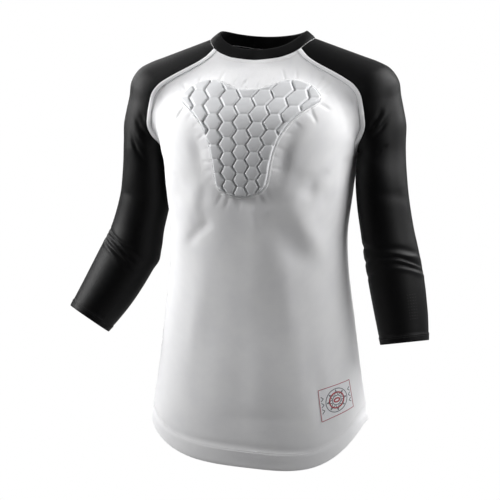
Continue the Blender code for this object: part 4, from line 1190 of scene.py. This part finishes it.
@dataclass
class SeamTape:
    """Flat tape sewn over a raglan seam, on the body's side."""

    panel: BodyPanel
    # Millimetres from the seam and above the cloth
    profile: tuple = ((0.25, 0.12), (0.8, 0.46), (2.0, 0.6), (4.0, 0.62), (6.2, 0.58), (7.5, 0.44),
                      (8.1, 0.08))

    def build(self, name: str) -> bpy.types.Object:
        """Mesh of the two tapes of one panel."""
        spots = [spot for spot, _ in self.profile]
        lift = np.array([height for _, height in self.profile])
        parts = []
        for right in (False, True):
            point, normal = self.panel.edge_strip(right, spots)
            outer = point + normal * lift[None, :, None]
            inner = point + normal * 0.02
            if right:
                outer, inner = outer[:, ::-1], inner[:, ::-1]
            parts.append(wall(outer[2:], inner[2:], cloth_map(outer[2:]))[:2])
        vertices, faces = joined(parts)
        return write_mesh(name, vertices, faces, vertices[:, [0, 2]][faces])

    def stitch_lines(self) -> list[Array]:
        """Lines of stitches along one edge of each tape, away from the seam."""
        lines = []
        for right in (False, True):
            point, normal = self.panel.edge_strip(right, (7.3,))
            lines.append((point + normal * 0.62)[3:, 0])
        return lines


@dataclass
class NeckFacing:
    """Black tape on the inside of the back neck, below the band."""

    panel: BodyPanel
    depth: float = 40.0

    def build(self, name: str) -> bpy.types.Object:
        """Mesh of the facing, laid on the panel's inner face."""
        rows = [self.panel.row_line(height, top=True) for height in np.linspace(self.depth, 0.6, 12)]
        point, normal = np.array(rows).transpose(1, 0, 2, 3)
        near, far = (point - normal * (self.panel.cloth + gap) for gap in (0.15, 0.75))
        return write_mesh(name, *wall(near, far, cloth_map(near)))


@dataclass
class HemPatch:
    """Woven patch: pale field, rose edge and a plain rosette, made as flat satin lines."""

    front: BodyPanel
    figure: Figure

    def lay(self, spots: Array, height: float) -> tuple[Array, Array]:
        """Places of the patch on the cloth.

        Args:
            spots: Millimetres right and up from the patch's lower left corner.
            height: Height above the cloth.

        Returns:
            Points and outward normals.
        """
        upper_left, lower_left, lower_right, upper_right = (np.array(c) for c in PATCH_CORNERS)
        u = (spots[..., 0] / PATCH_SIZE[0])[..., None]
        v = (spots[..., 1] / PATCH_SIZE[1])[..., None]
        low, high = (1 - u) * lower_left + u * lower_right, (1 - u) * upper_left + u * upper_right
        guess = (1 - v) * low + v * high
        normal = unit(self.figure.slope(self.figure.torso, guess))
        flat, face = guess.reshape(-1, 3), normal.reshape(-1, 3)
        hits = [self.front.tree.ray_cast(Vector(p + n * 60.0), Vector(-n))[0] for p, n in zip(flat, face)]
        point = np.array(hits).reshape(guess.shape)
        return point + normal * height, normal

    @staticmethod
    def rosette() -> tuple[list[Array], list[Array], list[Array]]:
        """Grey lines, red lines and edge of the patch's pattern, in its own millimetres."""
        middle = np.array([28.5, 24.0])
        turn = np.linspace(0.0, 2.0 * math.pi, 73)
        ring = np.stack([np.cos(turn), np.sin(turn)], axis=-1)
        grey = [middle + 17.5 * ring, middle + 7.0 * ring]
        for k in range(8):
            lean = math.pi / 4.0 * k
            tip = middle + 16.0 * np.array([math.cos(lean), math.sin(lean)])
            for side in (-0.32, 0.32):
                foot = middle + 8.0 * np.array([math.cos(lean + side), math.sin(lean + side)])
                grey.append(np.linspace(foot, tip, 12))
        for x, way in ((6.0, 1.0), (51.0, -1.0)):
            for lift in (-9.0, 0.0, 9.0):
                low, tip, high = np.array([(x - 2.2 * way, 24.0 + lift - 3.4), (x + 1.8 * way, 24.0 + lift),
                                           (x - 2.2 * way, 24.0 + lift + 3.4)])
                grey.append(np.vstack([np.linspace(low, tip, 6), np.linspace(tip, high, 6)[1:]]))
        red = [middle + 4.4 * ring * np.array([1.0, 0.62]), middle + 11.6 * ring]
        corners = np.array([(1.1, 1.1), (55.9, 1.1), (55.9, 46.9), (1.1, 46.9), (1.1, 1.1)])
        edge = np.vstack([np.linspace(a, b, 30)[:-1] for a, b in zip(corners, corners[1:])] + [corners[-1:]])
        return grey, red, [edge]

    def field(self, name: str) -> bpy.types.Object:
        """Mesh of the pale woven ground."""
        x = np.linspace(0.0, PATCH_SIZE[0], 39)
        z = np.linspace(0.0, PATCH_SIZE[1], 33)
        spots = np.stack(np.meshgrid(x, z), axis=-1)
        outer, normal = self.lay(spots, 0.42)
        return write_mesh(name, *wall(outer, outer - normal * 0.36, spots))

    def lines(self, name: str, lines: Sequence[Array], width: float) -> bpy.types.Object:
        """Mesh of one colour's satin lines."""
        return write_mesh(name, *joined([ribbon(*self.lay(line, 0.40), width, 0.22) for line in lines]))


class Stitching:
    """Thread stitches along lines, made by one geometry node tree."""

    def __init__(self) -> None:
        """Build the tree that sets a thread bead at every pitch of a curve."""
        self.tree = tree = bpy.data.node_groups.new("stitch_run", "GeometryNodeTree")
        face = tree.interface
        face.new_socket("Geometry", in_out="INPUT", socket_type="NodeSocketGeometry")
        self.names = {
            name: face.new_socket(name, in_out="INPUT", socket_type=kind).identifier
            for name, kind in (("Pitch", "NodeSocketFloat"), ("Half length", "NodeSocketFloat"),
                               ("Radius", "NodeSocketFloat"), ("Thread", "NodeSocketMaterial"))
        }
        face.new_socket("Geometry", in_out="OUTPUT", socket_type="NodeSocketGeometry")
        given = add_node(tree, "NodeGroupInput").outputs
        run = add_node(tree, "GeometryNodeResampleCurve", None,
                       {"Curve": given["Geometry"], "Length": given["Pitch"]}, mode="LENGTH")
        bead = add_node(tree, "GeometryNodeMeshUVSphere", {"Segments": 6, "Rings": 4, "Radius": 1.0})
        size = add_node(tree, "ShaderNodeCombineXYZ", None,
                        {"X": given["Radius"], "Y": given["Radius"], "Z": given["Half length"]})
        tangent = add_node(tree, "GeometryNodeInputTangent")
        aim = add_node(tree, "FunctionNodeAlignRotationToVector", None, {"Vector": tangent.outputs[0]},
                       axis="Z")
        beads = add_node(tree, "GeometryNodeInstanceOnPoints", None,
                         {"Points": run.outputs["Curve"], "Instance": bead.outputs["Mesh"],
                          "Rotation": aim.outputs[0], "Scale": size.outputs[0]})
        real = add_node(tree, "GeometryNodeRealizeInstances", None, {"Geometry": beads.outputs["Instances"]})
        coat = add_node(tree, "GeometryNodeSetMaterial", None,
                        {"Geometry": real.outputs["Geometry"], "Material": given["Thread"]})
        add_node(tree, "NodeGroupOutput", None, {"Geometry": coat.outputs["Geometry"]})

    def build(self, name: str, lines: Sequence[Array], thread: Finish, pitch: float = 3.0,
              length: float = 2.3, radius: float = 0.34) -> bpy.types.Object:
        """Mesh of the stitches along several lines.

        Args:
            name: Name of the piece.
            lines: Lines of points in millimetres.
            thread: Finish of the stitches.
            pitch: Distance from stitch to stitch.
            length: Length of one stitch.
            radius: Half thickness of the thread.

        Returns:
            The new object.
        """
        curve = bpy.data.curves.new(name + "_lines", "CURVE")
        curve.dimensions = "3D"
        for line in lines:
            spline = curve.splines.new("POLY")
            spline.points.add(len(line) - 1)
            flat = np.hstack([np.asarray(line) * MM, np.ones((len(line), 1))])
            spline.points.foreach_set("co", flat.reshape(-1).astype(np.float32))
        guide = bpy.data.objects.new(name + "_guide", curve)
        bpy.context.scene.collection.objects.link(guide)
        modifier = guide.modifiers.new("stitches", "NODES")
        modifier.node_group = self.tree
        for key, value in (("Pitch", pitch * MM), ("Half length", 0.5 * length * MM), ("Radius", radius * MM),
                           ("Thread", thread.material)):
            modifier[self.names[key]] = value
        graph = bpy.context.evaluated_depsgraph_get()
        mesh = bpy.data.meshes.new_from_object(guide.evaluated_get(graph))
        bpy.data.objects.remove(guide, do_unlink=True)
        mesh.name = name
        mesh.polygons.foreach_set("use_smooth", np.ones(len(mesh.polygons), dtype=bool))
        item = bpy.data.objects.new(name, mesh)
        bpy.context.scene.collection.objects.link(item)
        return item


@dataclass
class CollarBand:
    """Doubled knit band round the neck opening."""

    lines: CutLines
    fine: int = 6
    cloth: float = 1.4
    # Share of the band's height and millimetres outward: up the outside, over the top, down the inside
    profile: tuple = ((0.05, 0.25), (0.12, 0.62), (0.22, 0.9), (0.34, 1.0), (0.5, 1.0), (0.66, 0.92),
                      (0.8, 0.75), (0.89, 0.5), (0.95, 0.15), (0.975, -0.35), (0.96, -0.8), (0.9, -1.1),
                      (0.75, -1.3), (0.5, -1.2), (0.25, -1.25))

    def build(self, name: str) -> bpy.types.Object:
        """Mesh of the band: foot on the neckline, full outer face, rounded top and plain inner face."""
        figure, neck = self.lines.figure, self.lines.neck
        low = np.vstack([
            neck[-1][FRONT_COLUMNS // 2::2], neck[0][:-1:2], neck[1][::-1][::2],
            mirror(neck[0])[::-1][2::2], neck[-1][1:FRONT_COLUMNS // 2:2],
        ])
        fine = resample(CutLines.ring(), 720, closed=True)
        top = np.array([fine[np.argmin(np.linalg.norm(fine[:, :3] - p, axis=1)), 3:] for p in low])
        for _ in range(4):
            top = 0.5 * top + 0.25 * (np.roll(top, 1, axis=0) + np.roll(top, -1, axis=0))
        both = np.concatenate([low, top], axis=-1)
        both = np.vstack([both, both[:1]])[:, None, :]
        both = refine(both, self.fine, wrap=np.array([True]))[:-1, 0]
        low, top = both[:, :3], both[:, 3:]
        rise = unit(top - low)
        around = unit(np.roll(low, -1, axis=0) - np.roll(low, 1, axis=0))
        out = unit(np.cross(around, rise))
        height = np.linalg.norm(top - low, axis=1)[:, None]
        face = unit(figure.slope(figure.whole, low))
        climb = unit(np.cross(around, face))
        climb *= np.sign((climb * rise).sum(axis=-1, keepdims=True))
        foot = low + climb * 0.5 * SEAM_GAP
        loops = [foot] + [low + rise * share * height + out * push for share, push in self.profile]
        loops.append(foot - face * self.cloth)
        grid = np.array(loops)
        count, total = len(low), len(loops)
        number = np.arange(total * count).reshape(total, count)
        after, beside = np.roll(number, -1, axis=0), np.roll(number, -1, axis=1)
        corner = np.roll(after, -1, axis=1)
        faces = np.stack([number, beside, corner, after], axis=-1).reshape(-1, 4)
        up = np.linspace(0.0, 34.0, total)
        place = np.stack(np.broadcast_arrays(run_length(low)[None, :], up[:, None]), axis=-1).reshape(-1, 2)
        return write_mesh(name, grid.reshape(-1, 3), faces, place[faces], 70.0)


@dataclass
class ChestPad:
    """Foam pad of six-sided cells that run together downwards."""

    front: BodyPanel
    figure: Figure
    grid_step: float = 1.15
    pitch: tuple = (28.0, 16.8)
    cell_high: tuple = (25.0, 19.5)
    start: float = -58.8
    groove: float = 0.75
    shoulder: float = 1.9
    rim: float = 2.6
    edge_high: float = 1.6
    crown: float = 0.5
    field_x: tuple = (-114.0, 114.1)
    field_z: tuple = (-260.0, -78.0)

    def outline(self, count: int) -> Array:
        """Closed outline in the front view, anticlockwise."""
        right = list(PAD_OUTLINE)
        whole = right + [(-x, z) for x, z in right[1:-1][::-1]]
        line = resample(np.array([(x, z, 0.0) for x, z in whole]), count, closed=True)[:, :2]
        ahead = np.roll(line, -1, axis=0)
        area = (line[:, 0] * ahead[:, 1] - line[:, 1] * ahead[:, 0]).sum()
        return line if area > 0 else line[::-1]

    def row(self, z: float) -> tuple[float, float]:
        """Column pitch and cell height at a height on the pad."""
        share = (PAD_OUTLINE[5][1] - z) / (PAD_OUTLINE[5][1] - PAD_OUTLINE[-1][1])
        return tuple(a + (b - a) * share for a, b in (self.pitch, self.cell_high))

    def cells(self) -> list[Array]:
        """Corners of every cell, anticlockwise from the upper right."""
        out = []
        levels = [self.start]
        while levels[-1] > PAD_OUTLINE[-1][1] - 30.0:
            levels.append(levels[-1] - 0.5 * self.row(levels[-1])[1])
        for column in range(-5, 6):
            for k in range(1 + column % 2, len(levels) - 1, 2):
                top, middle, low = levels[k - 1], levels[k], levels[k + 1]
                corners = ((1 / 3, top), (-1 / 3, top), (-2 / 3, middle), (-1 / 3, low), (1 / 3, low),
                           (2 / 3, middle))
                out.append(np.array([((column + s) * self.row(z)[0], z) for s, z in corners]))
        return out

    def heights(self, plan: Array, edge: Array) -> Array:
        """Height of the pad's face above its underside.

        Args:
            plan: Points in the front view.
            edge: Their distance from the outline.

        Returns:
            Millimetres.
        """
        best = np.full(len(plan), -1e9)
        cut = np.zeros(len(plan))
        for cell in self.cells():
            ahead = np.roll(cell, -1, axis=0)
            way = unit(ahead - cell)
            inside = np.stack([way[k, 0] * (plan[:, 1] - cell[k, 1]) - way[k, 1] * (plan[:, 0] - cell[k, 0])
                               for k in range(6)])
            whole = inside.min(axis=0)
            flat = inside[[0, 3]].min(axis=0)
            slant = inside[[1, 2, 4, 5]].min(axis=0)
            deep = 1.0 - smooth_step((slant - self.groove) / self.shoulder)
            faint = 0.3 * (1.0 - smooth_step((flat - 0.4) / 1.5))
            crown = self.crown * smooth_step(whole / 9.0)
            here = np.maximum(deep, faint) - crown / PAD_CELL
            cut = np.where(whole > best, here, cut)
            best = np.maximum(best, whole)
        rim = np.sqrt(np.clip(1.0 - (1.0 - np.clip(edge / self.rim, 0.0, 1.0)) ** 2, 0.0, 1.0))
        full = self.edge_high + (PAD_BASE + PAD_CELL - self.crown - self.edge_high) * rim
        near = smooth_step((edge - 0.4) / 2.2)
        return full - PAD_CELL * cut * near * 0.95

    def place(self, plan: Array, height: Array) -> Array:
        """Points of the front view laid on the front panel at a height above it."""
        back = Vector((0.0, 1.0, 0.0))
        point = np.array([self.front.tree.ray_cast(Vector((x, -400.0, z)), back)[0] for x, z in plan])
        normal = unit(self.figure.slope(self.figure.whole, point))
        return point + normal * np.asarray(height)[..., None]

    def around(self, distance: float, count: int = 420) -> Array:
        """Closed line round the pad in the front view, at a distance outside its outline."""
        line = self.outline(count)
        way = unit(np.roll(line, -1, axis=0) - np.roll(line, 1, axis=0))
        line = line + np.stack([way[:, 1], -way[:, 0]], axis=-1) * distance
        return np.vstack([line, line[:1]])

    def welt(self, name: str) -> bpy.types.Object:
        """Mesh of the sewn cloth edge that holds the pad."""
        line = self.around(1.9)
        point = self.place(line, np.zeros(len(line)))
        normal = unit(self.figure.slope(self.figure.whole, point))
        vertices, faces = ribbon(point, normal, 3.0, 1.15)
        return write_mesh(name, vertices, faces, vertices[:, [0, 2]][faces])

    def puckers(self) -> list[Crease]:
        """Short creases in the cloth round the pad, closer together at its points."""
        dice = np.random.default_rng(7)
        line = self.around(1.0, 170)
        out = []
        k = 0
        while k < len(line) - 2:
            x, z = line[k]
            way = unit(line[k + 1] - line[k])
            away = np.array([way[1], -way[0]])
            tight = abs(x) > 92.0 or z < -246.0
            reach = dice.uniform(13.0, 24.0) * (1.1 if tight else 0.8)
            turn = away * reach + way * dice.uniform(-7.0, 7.0)
            depth = -dice.uniform(0.6, 1.25) * (1.2 if tight else 0.75)
            start = line[k] - 2.5 * away
            ends = (tuple(start), tuple(line[k] + 0.45 * turn), tuple(line[k] + turn))
            out.append(Crease(ends, dice.uniform(1.7, 2.5), depth))
            k += int(dice.integers(2, 4)) if tight else int(dice.integers(3, 7))
        return out

    def build(self, name: str) -> bpy.types.Object:
        """Mesh of the pad: fine face with its cells, closed plain underside."""
        edge_line = self.outline(560)
        x, z = (np.arange(*span, self.grid_step) for span in (self.field_x, self.field_z))
        grid = np.stack(np.meshgrid(x, z), axis=-1).reshape(-1, 2)
        grid[:, 0] += 0.5 * self.grid_step * (np.round((grid[:, 1] - self.field_z[0]) / self.grid_step) % 2)
        inside = np.zeros(len(grid), dtype=bool)
        for (x1, z1), (x2, z2) in zip(edge_line, np.roll(edge_line, -1, axis=0)):
            cross = (z1 > grid[:, 1]) != (z2 > grid[:, 1])
            at = (x2 - x1) * (grid[:, 1] - z1) / (z2 - z1 if z2 != z1 else 1e-9) + x1
            inside ^= cross & (grid[:, 0] < at)
        grid = grid[inside]
        gap = line_distance(grid, edge_line[::2], closed=True)[0]
        grid, gap = grid[gap > 0.7], gap[gap > 0.7]
        plan = np.vstack([edge_line, grid])
        count = len(edge_line)
        spots = [Vector(p) for p in plan.tolist()]
        result = geometry.delaunay_2d_cdt(spots, [], [list(range(count))], 1, 1e-5)
        flat = np.array([tuple(p) for p in result[0]])
        source = np.array([ids[0] for ids in result[3]])
        edge = np.concatenate([np.zeros(count), gap])[source]
        top = self.place(flat, PAD_LIFT + self.heights(flat, edge))
        under = self.place(flat, np.full(len(flat), PAD_LIFT))
        faces = [tuple(f) for f in result[2]]
        total = len(flat)
        find = {int(s): k for k, s in enumerate(source)}
        rim = [find[k] for k in range(count)]
        faces += [tuple(total + v for v in reversed(f)) for f in result[2]]
        for a, b in zip(rim, rim[1:] + rim[:1]):
            faces.append((b, a, total + a))
            faces.append((b, total + a, total + b))
        return write_mesh(name, np.vstack([top, under]), faces, None, 75.0)


class Studio:
    """Plain white studio, soft light and the camera of the reference view."""

    yaw = 17.0
    lift = 5.0
    distance = 3.2
    lens = 144.0
    floor_level = -0.74
    lamp_aim = (0.0, 0.0, -0.33)

    def camera(self) -> None:
        """Long lens on the wearer's left, slightly above the middle of the shirt."""
        yaw, lift = math.radians(self.yaw), math.radians(self.lift)
        aim = Vector((-0.020 * math.cos(yaw), -0.020 * math.sin(yaw), -0.350))
        away = Vector((math.sin(yaw) * math.cos(lift), -math.cos(yaw) * math.cos(lift), math.sin(lift)))
        lens = bpy.data.cameras.new("camera")
        lens.lens = self.lens
        lens.sensor_width = 36.0
        camera = bpy.data.objects.new("camera", lens)
        bpy.context.scene.collection.objects.link(camera)
        camera.location = aim + away * self.distance
        camera.rotation_euler = away.to_track_quat("Z", "Y").to_euler()
        bpy.context.scene.camera = camera

    def lamp(self, name: str, turn: float, reach: float, high: float, size: tuple, power: float) -> None:
        """One soft box of the table LAMPS."""
        light = bpy.data.lights.new(name, "AREA")
        light.shape = "RECTANGLE"
        light.size, light.size_y = size
        light.energy = power
        item = bpy.data.objects.new(name, light)
        bpy.context.scene.collection.objects.link(item)
        lean = math.radians(turn)
        item.location = (reach * math.sin(lean), -reach * math.cos(lean), high)
        item.rotation_euler = (item.location - Vector(self.lamp_aim)).to_track_quat("Z", "Y").to_euler()

    @staticmethod
    def bright(tree: bpy.types.NodeTree, plain: bpy.types.NodeSocket) -> bpy.types.NodeSocket:
        """Shader that the eye sees as clean white and that lights the shirt as the plain one does."""
        path = add_node(tree, "ShaderNodeLightPath")
        glow = add_node(tree, "ShaderNodeEmission", {"Color": (1.0, 1.0, 1.0, 1.0), "Strength": 1.0})
        mix = add_node(tree, "ShaderNodeMixShader", None,
                       {0: path.outputs["Is Camera Ray"], 1: plain, 2: glow.outputs[0]})
        return mix.outputs[0]

    def build(self) -> None:
        """Camera, floor, world and lamps."""
        self.camera()
        bpy.context.scene.view_settings.view_transform = "Standard"
        world = bpy.data.worlds.new("studio")
        bpy.context.scene.world = world
        world.use_nodes = True
        tree = world.node_tree
        tree.nodes.clear()
        plain = add_node(tree, "ShaderNodeBackground", {"Color": (1.0, 1.0, 1.0, 1.0), "Strength": 0.02})
        out = add_node(tree, "ShaderNodeOutputWorld")
        wire(tree, out, None, {"Surface": self.bright(tree, plain.outputs[0])})
        bpy.ops.mesh.primitive_plane_add(size=14.0, location=(0.0, 0.0, self.floor_level))
        floor = bpy.context.object
        floor.name = "studio_floor"
        material, shader = new_material("painted_floor")
        tree = material.node_tree
        wire(tree, shader, {"Base Color": linear("#767676"), "Roughness": 0.9})
        end = next(n for n in tree.nodes if n.type == "OUTPUT_MATERIAL")
        wire(tree, end, None, {"Surface": self.bright(tree, shader.outputs[0])})
        floor.data.materials.append(material)
        for row in LAMPS:
            self.lamp(*row)


def main() -> None:
    """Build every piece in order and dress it."""
    logging.basicConfig(level=logging.INFO, format="%(message)s")
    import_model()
    Studio().build()
    white = KnitFinish("white_warp_knit", Slot.WHITE, "#F3F3F4", "#EEEEF0", 0.62, 0.2, 0.4)
    black = KnitFinish("black_warp_knit", Slot.BLACK, "#060607", "#040405", 0.5, 0.08, 0.16)
    film = FilmFinish("urethane_film_on_foam", Slot.PAD, "#DEDFE1", "#D7D8DA", 0.44)
    white_thread = ThreadFinish("white_spun_thread", Slot.WHITE, "#F1F1F1")
    grey_thread = ThreadFinish("grey_spun_thread", Slot.WHITE, "#6A6C70")
    black_thread = ThreadFinish("black_spun_thread", Slot.BLACK, "#1B1B1D")
    red_thread = ThreadFinish("red_rayon_thread", Slot.WHITE, "#B23A44", 0.45)
    rose_thread = ThreadFinish("rose_rayon_thread", Slot.WHITE, "#B4646C", 0.5)
    ground = ThreadFinish("pale_woven_ground", Slot.WHITE, "#F2F2F5", 0.65)

    figure = Figure()
    lines = CutLines(figure)
    front_creases, back_creases = [
        tuple(crease for crease in Crease.table(BODY_CREASES) if crease.side == side) for side in (-1, 1)
    ]
    front = BodyPanel(side=-1, lines=lines, columns=FRONT_COLUMNS)
    pad = ChestPad(front, figure)
    front.creases = front_creases + tuple(pad.puckers())
    back = BodyPanel(side=1, lines=lines, columns=BACK_COLUMNS, creases=back_creases)
    arms = ((1, ARM_LEFT, RING_LEFT, TOP_LEFT), (-1, ARM_RIGHT, RING_RIGHT, TOP_RIGHT))
    left, right = [
        Sleeve(sign=sign, rows=rows, lines=lines, creases=tuple(RingCrease(*row) for row in rings),
               top_creases=Crease.table(tops))
        for sign, rows, rings, tops in arms
    ]
    front_cloth = dress(front.build("front_cloth"), white, "front_panel")
    back_cloth = dress(back.build("back_cloth"), white, "back_panel")
    left_cloth = dress(left.build("left_sleeve_cloth"), black, "sleeve_left")
    right_cloth = dress(right.build("right_sleeve_cloth"), black, "sleeve_right")
    collar_cloth = dress(CollarBand(lines).build("collar_cloth"), black, "collar_band")
    pad_foam = dress(pad.build("pad_foam"), film, "chest_pad")

    tapes = [SeamTape(front), SeamTape(back)]
    patch = HemPatch(front, figure)
    grey_lines, red_lines, edge_lines = patch.rosette()
    front_trim = [
        dress(pad.welt("pad_welt"), white),
        dress(tapes[0].build("front_seam_tape"), white),
        dress(patch.field("patch_ground"), ground),
        dress(patch.lines("patch_grey_lines", grey_lines, 1.2), grey_thread),
        dress(patch.lines("patch_red_lines", red_lines, 2.2), red_thread),
        dress(patch.lines("patch_edge", edge_lines, 1.2), rose_thread),
    ]
    back_trim = [
        dress(tapes[1].build("back_seam_tape"), white),
        dress(NeckFacing(back).build("neck_facing"), black),
    ]

    # Stitch rows lie proud of the cloth, so the thread shows
    grey_rows = [line for tape in tapes for line in tape.stitch_lines()]
    pale_rows = []
    for panel in (front, back):
        for height in HEM_ROWS:
            point, normal = panel.row_line(height)
            pale_rows.append(point + normal * 0.25)
        point, normal = panel.row_line(NECK_ROW, top=True)
        pale_rows.append((point + normal * 0.25)[6:-6])
    for distance in PAD_ROWS:
        line = pad.around(distance)
        pale_rows.append(pad.place(line, np.full(len(line), 1.1)))
    collar_seam = lines.neck[0] + unit(figure.slope(figure.whole, lines.neck[0])) * 0.35
    pale_rows += [collar_seam, mirror(collar_seam)]
    dark_rows = []
    for sleeve in (left, right):
        for height in CUFF_ROWS:
            point, normal = sleeve.ring_line(height)
            dark_rows.append(point + normal * 0.25)
    sewing = Stitching()
    vents = sewing.build("vent_dots", left.dot_rows(*VENT_FIELD), black_thread, 4.2, 1.3, 0.6)
    front_trim += [
        dress(sewing.build("seam_stitches", grey_rows, grey_thread), grey_thread),
        dress(sewing.build("body_stitches", pale_rows, white_thread), white_thread),
    ]
    left_trim = [
        dress(vents, black_thread),
        dress(sewing.build("cuff_stitches", dark_rows, black_thread), black_thread),
    ]


if __name__ == "__main__":
    main()
